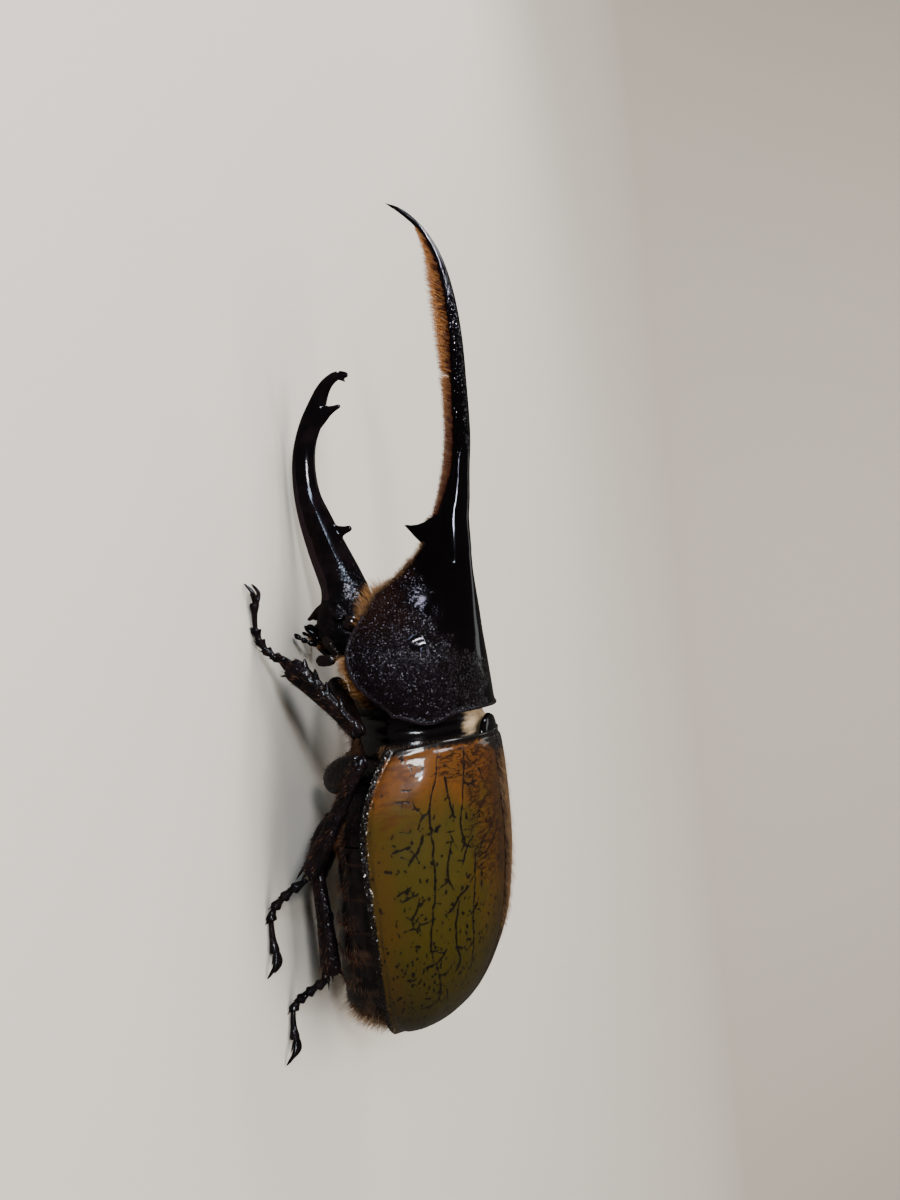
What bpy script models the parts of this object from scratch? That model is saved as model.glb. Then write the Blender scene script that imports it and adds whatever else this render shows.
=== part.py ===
"""Dynastes ecuatorianus: a large male Hercules beetle as a still, life-size model.

Sizes are millimetres until a mesh is made. X points to the beetle's left, -Y ahead of it and
Z up from the floor that it stands on. The origin is under the middle of its length."""

import math
import random

import bmesh
import bpy
from mathutils import Matrix, Vector

MM = 0.001
GAP = 0.3
SEED = 11

# the elytra, from the base to the rounded end of the body
ELYTRA_FRONT = 21.3
ELYTRA_END = 70.9
ELYTRA_WIDEST_AT = 34.0
ELYTRA_HALF_WIDTH = 21.0
ELYTRA_TOP = 34.6
ELYTRA_RIM = 17.1
ELYTRA_APEX = 13.5
ELYTRA_WALL = 1.2

# the pronotum, from the root of the horn to its rear margin
PRONOTUM_FRONT = -8.0
PRONOTUM_REAR = 17.3
PRONOTUM_TOP_FRONT = 33.1
PRONOTUM_TOP_REAR = 34.1

# the body below the elytra
ABDOMEN_FRONT = 36.0
ABDOMEN_END = 69.5
METATHORAX_FRONT = 23.6
MESOTHORAX_FRONT = 17.0
BELLY = 7.6

SIDES = {"left": 1, "right": -1}

scene = bpy.context.scene
for old in list(bpy.data.objects):
    bpy.data.objects.remove(old, do_unlink=True)
beetle = bpy.data.collections.new("dynastes_ecuatorianus")
scene.collection.children.link(beetle)
cutters = bpy.data.collections.new("cutters")
scene.collection.children.link(cutters)


def finish(name, colour, roughness):
    """A Principled material for one kind of surface."""
    made = bpy.data.materials.new(name)
    made.use_nodes = True
    shader = made.node_tree.nodes["Principled BSDF"]
    shader.inputs["Base Color"].default_value = (*colour, 1.0)
    shader.inputs["Roughness"].default_value = roughness
    shader.inputs["Metallic"].default_value = 0.0
    made.diffuse_color = (*colour, 1.0)
    return made


POLISHED = finish("polished_black", (0.010, 0.007, 0.008), 0.12)
PITTED = finish("pitted_black", (0.014, 0.010, 0.013), 0.28)
OLIVE = finish("olive_shell", (0.165, 0.115, 0.018), 0.22)
GOLDEN_HAIR = finish("golden_hair", (0.42, 0.17, 0.035), 0.6)
EYE = finish("eye_black", (0.006, 0.005, 0.006), 0.06)


def power(value, exponent):
    return math.copysign(abs(value) ** exponent, value)


def smooth_step(low, high, value):
    t = min(max((value - low) / (high - low), 0.0), 1.0)
    return t * t * (3 - 2 * t)


def spread(low, high, count):
    """Evenly spaced values, both ends included."""
    return [low + (high - low) * i / (count - 1) for i in range(count)]


def through(rows, steps):
    """A smooth curve through rows of numbers, with some steps from each row to the next."""
    padded = [rows[0], *rows, rows[-1]]
    found = []
    for before, start, end, after in zip(padded, padded[1:], padded[2:], padded[3:]):
        for step in range(steps):
            t = step / steps
            found.append(
                tuple(
                    0.5 * (2 * b + (c - a) * t + (2 * a - 5 * b + 4 * c - d) * t * t
                           + (3 * b - a - 3 * c + d) * t ** 3)
                    for a, b, c, d in zip(before, start, end, after)
                )
            )
    return [*found, tuple(rows[-1])]


def read_off(rows, place):
    """The values of a list of stations at one place along its first column."""
    if place <= rows[0][0]:
        return rows[0][1:]
    for low, high in zip(rows, rows[1:]):
        if place <= high[0]:
            t = (place - low[0]) / (high[0] - low[0])
            t = 0.5 * t + 0.5 * t * t * (3 - 2 * t)
            return tuple(a + (b - a) * t for a, b in zip(low[1:], high[1:]))
    return rows[-1][1:]


def make(name, shape, material, collection=beetle):
    """An object from a finished bmesh, in triangles, shaded smooth up to its sharp edges."""
    bmesh.ops.triangulate(shape, faces=shape.faces, quad_method="SHORT_EDGE")
    bmesh.ops.recalc_face_normals(shape, faces=shape.faces)
    if shape.calc_volume(signed=True) < 0:
        bmesh.ops.reverse_faces(shape, faces=shape.faces)
    mesh = bpy.data.meshes.new(name)
    shape.to_mesh(mesh)
    shape.free()
    mesh.materials.append(material)
    mesh.shade_smooth()
    mesh.set_sharp_from_angle(angle=math.radians(38))
    made = bpy.data.objects.new(name, mesh)
    collection.objects.link(made)
    return made


def loft(name, rings, material, side=1, collection=beetle):
    """A closed skin over rings of points that all have the same count."""
    shape = bmesh.new()
    loops = [[shape.verts.new((p.x * side * MM, p.y * MM, p.z * MM)) for p in ring] for ring in rings]
    count = len(rings[0])
    for first, second in zip(loops, loops[1:]):
        for i in range(count):
            j = (i + 1) % count
            shape.faces.new((first[i], first[j], second[j], second[i]))
    shape.faces.new(list(reversed(loops[0])))
    shape.faces.new(loops[-1])
    return make(name, shape, material, collection)


def oval(centre, across, up, half_width, half_height, sides, roundness=1.0):
    """One section of a limb or a horn; a roundness under 1 makes it boxier."""
    ring = []
    for i in range(sides):
        turn = 2 * math.pi * (i + 0.5) / sides
        ring.append(
            centre
            + across * (half_width * power(math.cos(turn), roundness))
            + up * (half_height * power(math.sin(turn), roundness))
        )
    return ring


def limb_rings(rows, flat, sides, roundness=1.0):
    """Sections square to a path. A row is x, y, z, half width and half height of the limb there."""
    points = [Vector(row[:3]) for row in rows]
    rings = []
    for i, row in enumerate(rows):
        along = (points[min(i + 1, len(rows) - 1)] - points[max(i - 1, 0)]).normalized()
        across = (flat - along * flat.dot(along)).normalized()
        rings.append(oval(points[i], across, along.cross(across), row[3], row[4], sides, roundness))
    return rings


def spike(root, tip, radius, side, sides=5):
    """A thorn with its root sunk in the piece it grows from."""
    start, end = Vector(root), Vector(tip)
    along = end - start
    shape = bmesh.new()
    turn = along.to_track_quat("Z", "Y").to_matrix().to_4x4()
    bmesh.ops.create_cone(shape, cap_ends=True, segments=sides, radius1=radius, radius2=0.0,
                          depth=along.length, matrix=Matrix.Translation((start + end) / 2) @ turn)
    for vert in shape.verts:
        vert.co = Vector((vert.co.x * side, vert.co.y, vert.co.z)) * MM
    return make("thorn", shape, POLISHED, cutters)


def separate_bodies(shape):
    """The faces of a mesh, sorted into its closed surfaces."""
    bodies = []
    unseen = set(shape.faces)
    while unseen:
        body, front = [], [unseen.pop()]
        while front:
            face = front.pop()
            body.append(face)
            for edge in face.edges:
                for other in edge.link_faces:
                    if other in unseen:
                        unseen.discard(other)
                        front.append(other)
        bodies.append(body)
    return bodies


def enclosed(faces):
    """The volume inside a closed set of faces."""
    return sum(face.calc_center_median().dot(face.normal) * face.calc_area() for face in faces) / 3


def settle(target, modifier_names):
    """Apply a piece's modifiers and keep its largest closed surface."""
    bpy.context.view_layer.update()
    shape = bmesh.new()
    evaluated = target.evaluated_get(bpy.context.evaluated_depsgraph_get())
    shape.from_mesh(evaluated.to_mesh())
    evaluated.to_mesh_clear()
    for name in modifier_names:
        target.modifiers.remove(target.modifiers[name])
    bodies = separate_bodies(shape)
    largest = max(bodies, key=enclosed)
    bmesh.ops.delete(shape, geom=[f for body in bodies if body is not largest for f in body], context="FACES")
    shape.to_mesh(target.data)
    shape.free()
    target.data.shade_smooth()
    target.data.set_sharp_from_angle(angle=math.radians(38))


def combine(target, others, operation):
    """One Boolean on a collection of closed meshes, applied, with those meshes then removed."""
    group = bpy.data.collections.new("operands")
    cutters.children.link(group)
    for other in others:
        for holder in list(other.users_collection):
            holder.objects.unlink(other)
        group.objects.link(other)
        other.hide_render = True
        other.display_type = "WIRE"
    boolean = target.modifiers.new("combine", "BOOLEAN")
    boolean.operation = operation
    boolean.operand_type = "COLLECTION"
    boolean.collection = group
    # EXACT leaves open edges on thorns and claws as small as these
    boolean.solver = "MANIFOLD"
    settle(target, ["combine"])
    for other in others:
        bpy.data.objects.remove(other, do_unlink=True)
    bpy.data.collections.remove(group)
    return target


def swollen(piece, amount):
    """A copy of a piece that stands out from it all round, to cut a gap with."""
    copy = bpy.data.objects.new("swollen", piece.data.copy())
    cutters.objects.link(copy)
    shape = bmesh.new()
    shape.from_mesh(copy.data)
    shape.normal_update()
    moves = [v.normal * amount * MM * min(v.calc_shell_factor(), 1.6) for v in shape.verts]
    for vert, move in zip(shape.verts, moves):
        vert.co += move
    shape.to_mesh(copy.data)
    shape.free()
    return copy


def clear_of(target, *neighbours, gap=GAP):
    """Cut a piece back so that it stays a gap away from its neighbours."""
    return combine(target, [swollen(n, gap) for n in neighbours], "DIFFERENCE")


def off_the_floor(target):
    """Cut the small flats that a foot stands on."""
    shape = bmesh.new()
    bmesh.ops.create_cube(shape, size=1.0)
    for vert in shape.verts:
        vert.co = Vector((vert.co.x * 0.2, vert.co.y * 0.3, (vert.co.z - 0.5) * 0.02))
    return combine(target, [make("floor_cutter", shape, PITTED, cutters)], "DIFFERENCE")


# shape of the elytra, which the abdomen below them follows too


def elytra_half_width(y):
    if y < ELYTRA_WIDEST_AT:
        t = (ELYTRA_WIDEST_AT - y) / (ELYTRA_WIDEST_AT - ELYTRA_FRONT)
        return ELYTRA_HALF_WIDTH * (1 - 0.255 * max(t, 0.0) ** 2.4)
    t = min((y - ELYTRA_WIDEST_AT) / (ELYTRA_END + 0.3 - ELYTRA_WIDEST_AT), 1.0)
    return ELYTRA_HALF_WIDTH * (1 - t ** 2.5) ** (1 / 1.9)


def elytra_rim(y):
    if y < 36:
        return ELYTRA_RIM + 3.9 * ((36 - y) / 14.7) ** 1.7
    return ELYTRA_RIM - 3.9 * max((y - 46) / 25, 0.0) ** 2


def elytra_top(y):
    if y < 32:
        return ELYTRA_TOP - 0.3 * ((32 - y) / 10.7) ** 2
    t = min((y - 32) / (ELYTRA_END + 0.1 - 32), 1.0)
    return ELYTRA_APEX + (ELYTRA_TOP - ELYTRA_APEX) * math.sqrt(1 - t ** 2.6)


def vault(y, angle, inset=0.0, drop_front=0.0):
    """A point of the elytra's vault: angle 0 is the suture, a right angle is the rim."""
    rim = elytra_rim(y)
    wide = max(elytra_half_width(y) - inset, 0.2)
    tall = max(elytra_top(y) - rim - inset, 0.2)
    shoulder = 1 - drop_front * math.exp(-((y - ELYTRA_FRONT) / 0.9) ** 2)
    return Vector((wide * shoulder * math.sin(angle), y, rim + tall * shoulder * math.cos(angle)))


def elytra_stations(count):
    front_share = 0.12
    found = []
    for t in spread(0, 1, count):
        bend = front_share * t + (1 - front_share) * math.sin(t * math.pi / 2) ** 0.9
        found.append(bend)
    return found


def elytron(name, side):
    outer_steps, inner_steps = 11, 8
    rings = []
    for share in elytra_stations(15):
        y_out = ELYTRA_FRONT + (ELYTRA_END - ELYTRA_FRONT) * share
        y_in = ELYTRA_FRONT + (ELYTRA_END - ELYTRA_WALL - ELYTRA_FRONT) * share
        ring = [vault(y_out, a, 0.0, 0.05) for a in spread(0, math.pi / 2, outer_steps)]
        inner = [vault(y_in, a, ELYTRA_WALL) for a in spread(0, math.pi / 2, inner_steps)]
        for point in inner:
            point.z = min(point.z, vault(y_in, 0, ELYTRA_WALL).z)
        ring += list(reversed(inner))
        for point in ring:
            point.x = max(point.x, 0.0) + GAP / 2
        rings.append(ring)
    return loft(name, rings, OLIVE, side)


# the thorax and abdomen below


def trunk_ring(y, half_width, top, waist, bottom, upper, lower, count=20):
    """A body section: an arch down to its widest level, and a keel below it."""
    ring = []
    for i in range(count):
        turn = 2 * math.pi * (i + 0.5) / count
        c, s = math.cos(turn), math.sin(turn)
        shape = upper if s > 0 else lower
        tall = (top - waist) if s > 0 else (waist - bottom)
        ring.append(Vector((half_width * power(c, shape), y, waist + tall * power(s, shape))))
    return ring


def abdomen():
    """The soft hind body: ringed plates below, the tail plate behind, the folded wings' room above."""
    plate_length = 5.4
    first_plate = 38.5
    ys = [ABDOMEN_FRONT, 37.4]
    for i in range(5):
        ys += [first_plate + i * plate_length + d for d in (0.0, 0.6, 3.2)]
    ys += [66.2, 67.6, 68.6, 69.2, ABDOMEN_END]
    rings = []
    for y in ys:
        under = ELYTRA_WALL + GAP + 0.15
        rim = elytra_rim(y)
        half_width = elytra_half_width(y) - under
        top = elytra_top(y + ELYTRA_WALL) - under
        bottom = BELLY - 2.9 * smooth_step(36, 64, y)
        close = math.sqrt(max(1 - (max(y - 63.0, 0) / (ABDOMEN_END + 0.4 - 63.0)) ** 2.4, 0.02))
        middle = 10.5
        bottom = middle + (bottom - middle) * close
        top = middle + (min(top, 33) - middle) * (close if y > 66 else 1)
        half_width *= 0.30 + 0.70 * close if y > 63 else 1
        ring = trunk_ring(y, half_width, top, min(rim - 0.2, top - 1.0), bottom, 1.0, 0.86)
        place = (y - first_plate) % plate_length
        step = 0.4 if first_plate < y < 66 and 0.3 < place < 5.0 else 0.0
        for point in ring:
            if point.z < rim - 1.5:
                point.z -= step
        rings.append(ring)
    return loft("abdomen", rings, PITTED)


def metathorax():
    rings = []
    for y in spread(METATHORAX_FRONT, ABDOMEN_FRONT - GAP, 7):
        under = ELYTRA_WALL + GAP + 0.15
        full = smooth_step(METATHORAX_FRONT - 2, ABDOMEN_FRONT, y)
        half_width = elytra_half_width(y) - under - 1.2 * (1 - full)
        rings.append(trunk_ring(y, half_width, elytra_top(y) - under, elytra_rim(y) - 0.2,
                                BELLY - 0.5 * (1 - full), 1.0, 1.55 - 0.69 * full))
    return loft("metathorax", rings, POLISHED)


def mesothorax():
    """The narrow neck that shows between the pronotum and the elytra."""
    rings = []
    for y in spread(MESOTHORAX_FRONT, METATHORAX_FRONT - GAP, 6):
        t = (y - MESOTHORAX_FRONT) / (METATHORAX_FRONT - MESOTHORAX_FRONT)
        rings.append(trunk_ring(y, 14.6 + 0.6 * t, 31.6 + 0.7 * t, 20.8, 8.6 - 0.8 * t, 0.95, 1.6))
    return loft("mesothorax", rings, POLISHED)


def scutellum():
    """The shining triangle at the root of the elytra."""
    outline = [(0.0, 27.3), (1.9, 25.6), (3.6, 23.6), (4.5, 21.9), (4.0, 20.6), (3.0, 19.0), (0.0, 18.4)]
    whole = outline + [(-x, y) for x, y in reversed(outline[1:-1])]
    rings = []
    for drop, inset in ((1.5, 0.86), (0.5, 1.0), (0.0, 0.86)):
        ring = []
        for x, y in whole:
            crown = 33.9 + 0.09 * (y - 22.0) - 0.035 * x * x - drop
            ring.append(Vector((x * inset, 22.0 + (y - 22.0) * inset, crown)))
        rings.append(ring)
    return loft("scutellum", rings, POLISHED)


# y, half width and height of the side margin of the pronotum
PRONOTUM_MARGIN = (
    (-8.0, 4.6, 23.8), (-5.9, 5.2, 21.9), (-4.0, 6.2, 19.3), (-2.7, 7.5, 17.5), (-0.3, 9.4, 16.7),
    (2.0, 11.3, 15.8), (3.6, 12.9, 15.0), (5.1, 14.8, 15.0), (6.9, 16.3, 15.4), (9.3, 17.4, 16.2),
    (11.9, 17.8, 17.7), (14.9, 17.4, 20.4), (17.3, 16.6, 23.4),
)


def pronotum():
    """The shield, hollowed at the front for the head and keeled below between the front legs."""
    over, below = 15, 9
    rings = []
    ys = [PRONOTUM_FRONT + 0.3, -6.0, -4.2, -2.6, -0.8, 1.0, 2.8, 4.4, 6.0, 7.2, 7.7, 9.3, 11.0, 13.0, 15.0, 16.5,
          PRONOTUM_REAR]
    for y in ys:
        wide, low = read_off(PRONOTUM_MARGIN, y)
        rise = (y - PRONOTUM_FRONT) / (PRONOTUM_REAR - PRONOTUM_FRONT)
        top = PRONOTUM_TOP_FRONT + (PRONOTUM_TOP_REAR - PRONOTUM_TOP_FRONT) * rise
        flare = 0.9 + 0.42 * math.exp(-((y + 2.2) / 4.4) ** 2)
        ring = []
        for angle in spread(-math.pi / 2, math.pi / 2, over):
            ring.append(Vector((wide * power(math.sin(angle), flare), y,
                                low + (top - low) * math.cos(angle) ** flare)))
        roofed = y < 7.5
        peak = max(low + 1.6, 16.6) if roofed else 9.4
        hollow = 0.8 if roofed else 3.6
        for angle in spread(math.pi / 2, -math.pi / 2, below + 2)[1:-1]:
            z = low - 0.3 + (peak - low + 0.3) * math.cos(angle) ** hollow
            ring.append(Vector((0.96 * wide * math.sin(angle), y, z)))
        late = smooth_step(9, PRONOTUM_REAR, y)
        for point in ring[:over]:
            point.y += late * 1.1 * math.exp(-((abs(point.x) - 15.0) / 2.8) ** 2)
        rings.append(ring)
    return loft("pronotum", rings, PITTED)


# y, z, half height and half width of the long horn, from its root to its tip
LONG_HORN = (
    (-7.0, 28.6, 4.60, 4.8), (-11.4, 29.6, 3.45, 3.9), (-15.0, 30.2, 3.05, 3.2), (-18.6, 31.3, 2.5, 2.65),
    (-23.0, 32.3, 1.95, 2.3), (-29.0, 33.2, 1.8, 2.1), (-37.0, 33.6, 1.65, 1.9), (-46.0, 33.95, 1.35, 1.6),
    (-53.6, 33.5, 1.1, 1.3), (-60.0, 32.2, 0.85, 1.0), (-65.4, 29.7, 0.62, 0.7), (-69.0, 26.6, 0.42, 0.45),
    (-70.7, 24.3, 0.14, 0.14),
)
BRUSH_START = -15.6
BRUSH_END = -64.6
# y and depth of the golden brush under the long horn
BRUSH_DEPTH = ((-64.6, 0.5), (-61.0, 1.7), (-55.0, 2.6), (-50.0, 2.7), (-44.0, 2.4), (-39.6, 1.9), (-35.0, 1.5),
               (-22.0, 1.3), (-15.6, 1.0))
BRUSH_NICK = -38.7


def horn_rings(rows, sides, steps, channel=0.0):
    """Sections square to a horn that bends in the plane of symmetry. A channel hollows its underside."""
    path = through(rows, steps)
    stations = [(0.0, y, z, wide, tall) for y, z, tall, wide in path]
    rings = limb_rings(stations, Vector((1, 0, 0)), sides)
    for ring, (y, z, tall, wide) in zip(rings, path):
        centre = Vector((0, y, z))
        for point in ring:
            off = point - centre
            if off.z < 0 and wide > 0.5:
                point.z += channel * tall * max(1 - (off.x / wide) ** 2, 0.0)
    return rings


def lock(root, tip, bend, half_width, half_thick, lie):
    """A flat, tapered lock of hairs. It bends from its root to its tip and is widest along lie."""
    start, end = Vector(root), Vector(tip)
    rows = []
    for t, share in ((0.0, 0.8), (0.45, 1.0), (1.0, 0.14)):
        middle = start.lerp(end, t) + Vector(bend) * (4 * t * (1 - t))
        rows.append((*middle, half_width * share, half_thick * (0.6 + 0.4 * share)))
    return loft("lock", limb_rings(rows, Vector(lie), 4), GOLDEN_HAIR, 1, cutters)


def horn_underside(y):
    """The level of the long horn's underside and its half width there."""
    z, tall, wide = read_off(tuple(reversed(LONG_HORN)), y)
    return z - 0.75 * tall, wide


def brush(dice):
    """Two rows of locks that hang from the channel under the long horn and lean towards its tip."""
    pieces = []
    pitch = 1.75
    count = int((BRUSH_START - BRUSH_END) / pitch)
    for row in (-1, 1):
        for i in range(count):
            y = BRUSH_START - (i + 0.5 + 0.25 * row) * pitch
            if abs(y - BRUSH_NICK) < 0.5 or y < BRUSH_END:
                continue
            depth = read_off(BRUSH_DEPTH, y)[0] * dice.uniform(0.9, 1.08)
            level, wide = horn_underside(y)
            x = (0.30 + 0.08 * dice.random()) * wide * row
            root = (x * 0.8, y + 0.5, level + 0.45)
            tip = (x + 0.25 * row, y - 0.55 - 0.2 * dice.random(), level - 0.25 - depth)
            pieces.append(lock(root, tip, (0.1 * row, 0.25, 0), 1.15, 0.42, (0, 1, 0)))
    return pieces


def brush_core():
    """A low ridge in the channel that the locks grow from, under half of their depth."""
    rows = []
    for y in spread(BRUSH_START, BRUSH_END + 2.0, 14):
        level, wide = horn_underside(y)
        depth = 0.45 * read_off(BRUSH_DEPTH, y)[0]
        rows.append((0.0, y, level - 0.5 * depth + 0.4, 0.45 * wide, 0.5 * depth + 0.45))
    return loft("core", limb_rings(rows, Vector((1, 0, 0)), 6), GOLDEN_HAIR, 1, cutters)


def side_tooth(side):
    """One of the pair of teeth at the root of the long horn, which point down and out."""
    rows = through([(1.8, -13.6, 29.4, 2.1, 1.4), (2.6, -13.4, 26.9, 1.7, 1.1), (3.2, -13.6, 25.0, 0.9, 0.65),
                    (3.6, -14.3, 23.4, 0.16, 0.16)], 2)
    return loft("tooth", limb_rings(rows, Vector((0, 1, 0)), 7), POLISHED, side, cutters)


def thoracic_horn():
    dice = random.Random(SEED)
    horn = loft("thoracic_horn", horn_rings(LONG_HORN, 12, 2, 0.30), POLISHED)
    pieces = [side_tooth(side) for side in SIDES.values()]
    return combine(horn, [*pieces, brush_core(), *brush(dice)], "UNION")


# y, z, half height and half width of the horn on the head, from its root to its hooked tip
HEAD_HORN = (
    (-2.9, 9.4, 4.6, 3.8), (-6.2, 8.85, 3.9, 3.4), (-12.5, 6.6, 3.45, 2.8), (-17.9, 4.9, 2.95, 2.4),
    (-21.7, 3.95, 2.45, 2.1), (-25.5, 3.65, 2.25, 1.9), (-29.3, 3.9, 2.1, 1.75), (-32.4, 4.7, 2.0, 1.65),
    (-35.2, 5.95, 2.0, 1.55), (-37.8, 7.3, 1.75, 1.4), (-40.4, 8.7, 1.3, 1.15), (-42.0, 10.2, 1.0, 0.95),
    (-42.8, 12.0, 0.78, 0.85), (-42.6, 13.8, 0.5, 0.62),
)


def cephalic_horn():
    horn = loft("cephalic_horn", horn_rings(HEAD_HORN, 12, 1), POLISHED)
    teeth = []
    for base_y, base_z, tip_y, tip_z, thick in ((-36.6, 7.2, -37.2, 12.0, 1.5), (-15.0, 6.6, -15.3, 11.8, 1.9)):
        rows = through([(0.0, base_y, base_z, thick, 1.1), (0.0, 0.6 * base_y + 0.4 * tip_y,
                        0.6 * base_z + 0.4 * tip_z, 0.85 * thick, 0.95),
                        (0.0, 0.2 * base_y + 0.8 * tip_y, 0.2 * base_z + 0.8 * tip_z, 0.34 * thick, 0.5),
                        (0.0, tip_y, tip_z, 0.2, 0.28)], 1)
        teeth.append(loft("tooth", limb_rings(rows, Vector((0, 1, 0)), 7), POLISHED, 1, cutters))
    return combine(horn, teeth, "UNION")


# y, half width, top and bottom of the head
HEAD_STATIONS = (
    (-2.6, 3.9, 13.9, 5.0), (-1.2, 5.0, 14.3, 4.6), (0.6, 6.0, 14.6, 4.4), (3.0, 6.2, 14.7, 4.6),
    (5.4, 5.6, 14.5, 6.0), (7.1, 4.8, 14.1, 8.2),
)


def head():
    rings = []
    for y, wide, top, bottom in HEAD_STATIONS:
        rings.append(trunk_ring(y, wide, top, 0.5 * (top + bottom), bottom, 0.82, 0.82, 18))
    skull = loft("head", rings, PITTED)
    shield = []
    # the clypeus: a plate in front of the mouth that ends in two points
    for y, z, wide, notch in ((-2.2, 6.4, 3.6, 0.0), (-1.7, 5.0, 3.2, 0.0), (-1.0, 3.9, 2.5, 0.15), (-0.3, 2.7, 1.9, 0.65)):
        ring = []
        for x in (-1.0, -0.55, 0.0, 0.55, 1.0):
            ring.append(Vector((wide * x, y, z + notch * abs(1 - abs(x) / 0.7))))
        for x in (1.0, 0.0, -1.0):
            ring.append(Vector((wide * x * 0.94, y + 1.2, z + 0.5 + notch * 0.3)))
        shield.append(ring)
    pieces = [loft("clypeus", shield, PITTED, 1, cutters)]
    for side in SIDES.values():
        # the canthus: the ledge that guards the front of each eye
        rows = [(3.6, -1.6, 9.4, 1.4, 1.0), (5.2, -0.9, 10.0, 1.3, 0.8), (6.5, -0.3, 10.7, 1.1, 0.55),
                (7.5, 0.5, 11.2, 0.5, 0.3)]
        pieces.append(loft("canthus", limb_rings(rows, Vector((0, 0.4, 1)), 7), PITTED, side, cutters))
    return combine(skull, pieces, "UNION")


def eye(name, side):
    shape = bmesh.new()
    bmesh.ops.create_uvsphere(shape, u_segments=10, v_segments=7, radius=1.0)
    for vert in shape.verts:
        vert.co = Vector((side * (5.6 + 1.45 * vert.co.x), 1.2 + 1.45 * vert.co.y, 12.4 + 1.5 * vert.co.z)) * MM
    return make(name, shape, EYE)


def mandible(name, side):
    rows = through([(3.2, 3.4, 5.2, 1.2, 0.9), (3.0, 2.0, 4.0, 1.1, 0.8), (2.3, 1.2, 3.1, 0.8, 0.6),
                    (1.3, 0.9, 2.4, 0.25, 0.25)], 2)
    return loft(name, limb_rings(rows, Vector((1, 0.4, 0)), 8), POLISHED, side)


def labium():
    """The hairy lower lip."""
    rings = []
    for y, wide, low, high in ((2.6, 1.3, 2.7, 3.9), (3.8, 2.1, 2.9, 4.6), (5.6, 2.4, 4.0, 6.0), (7.0, 2.2, 5.6, 7.4)):
        rings.append(oval(Vector((0, y, 0.5 * (low + high))), Vector((1, 0, 0)), Vector((0, 0, 1)),
                          wide, 0.5 * (high - low), 10, 0.8))
    return loft("labium", rings, PITTED)


def palp(name, side):
    """A jointed feeler beside the mouth."""
    rows = [(3.3, 4.4, 4.6, 0.42, 0.42), (3.9, 3.9, 3.7, 0.5, 0.5), (4.1, 3.7, 3.4, 0.36, 0.36),
            (4.4, 3.3, 2.7, 0.5, 0.5), (4.5, 3.1, 2.45, 0.36, 0.36), (4.6, 2.6, 1.7, 0.5, 0.5),
            (4.6, 2.1, 1.2, 0.2, 0.2)]
    return loft(name, limb_rings(rows, Vector((1, 0, 0)), 7), POLISHED, side)


def antenna(name, side):
    """A short stalk from in front of the eye, and a club of three leaves lying together."""
    stalk = [(5.6, 3.4, 7.6, 0.75, 0.75), (6.8, 4.6, 8.9, 0.7, 0.7), (7.4, 5.4, 9.8, 0.42, 0.42),
             (7.7, 6.0, 10.3, 0.5, 0.5), (7.9, 6.6, 10.4, 0.42, 0.42), (8.1, 7.0, 9.8, 0.5, 0.5)]
    base = loft(name, limb_rings(stalk, Vector((0, 1, 0)), 7), POLISHED, side)
    leaves = []
    for i, offset in enumerate((-0.52, 0.0, 0.52)):
        length = 3.5 - 0.3 * abs(i - 1)
        rows = [(8.1 + 0.6 * offset, 7.1, 9.9, 0.40, 0.40), (8.1 + offset, 7.1, 9.0, 0.92, 0.44),
                (8.0 + offset, 7.1, 7.8, 1.0, 0.46), (7.9 + offset, 7.0, 10.0 - length, 0.55, 0.34)]
        leaves.append(loft("leaf", limb_rings(rows, Vector((0, 1, 0)), 8), POLISHED, side, cutters))
    return combine(base, leaves, "UNION")


# Each leg: hip, knee, ankle, then the points that its foot passes through down to the claws.
LEGS = {
    "front": {
        "hip": (5.6, 11.8, 8.6), "knee": (18.3, 18.2, 17.2), "ankle": (17.3, 7.4, 6.4),
        "foot": ((17.0, 6.6, 5.6), (16.9, 4.4, 2.2), (17.1, 1.0, 0.75), (17.4, -3.4, 1.1)),
        "claws": (17.4, -6.6, 0.1), "thick": (2.45, 1.7), "teeth_to": (17.6, 5.0, 4.0),
    },
    "middle": {
        "hip": (8.4, 27.4, 7.6), "knee": (19.7, 22.9, 17.6), "ankle": (19.8, 39.4, 7.7),
        "foot": ((19.9, 40.4, 7.0), (20.3, 42.6, 3.4), (20.6, 45.6, 0.8), (21.0, 51.2, 1.0)),
        "claws": (21.5, 54.6, 0.1), "thick": (2.4, 1.55), "teeth_to": None,
    },
    "hind": {
        "hip": (4.4, 34.6, 5.6), "knee": (15.2, 41.0, 6.6), "ankle": (15.3, 56.4, 7.4),
        "foot": ((15.4, 57.3, 7.0), (15.8, 59.3, 3.6), (16.3, 61.8, 0.8), (17.3, 66.2, 1.0)),
        "claws": (18.2, 69.4, 0.1), "thick": (2.5, 1.7), "teeth_to": None,
    },
}


def femur(name, leg, side):
    hip, knee = Vector(leg["hip"]), Vector(leg["knee"])
    thick = leg["thick"][0]
    bow = Vector((0, 0, -0.5))
    rows = []
    for t, wide in ((0.0, 0.62), (0.12, 0.86), (0.35, 1.0), (0.62, 0.98), (0.85, 0.8), (0.96, 0.62), (1.0, 0.34)):
        point = hip.lerp(knee, t) + bow * (4 * t * (1 - t))
        rows.append((*point, thick * wide, 0.82 * thick * wide))
    return loft(name, limb_rings(rows, Vector((0, 1, 0.3)), 10), PITTED, side)


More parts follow.
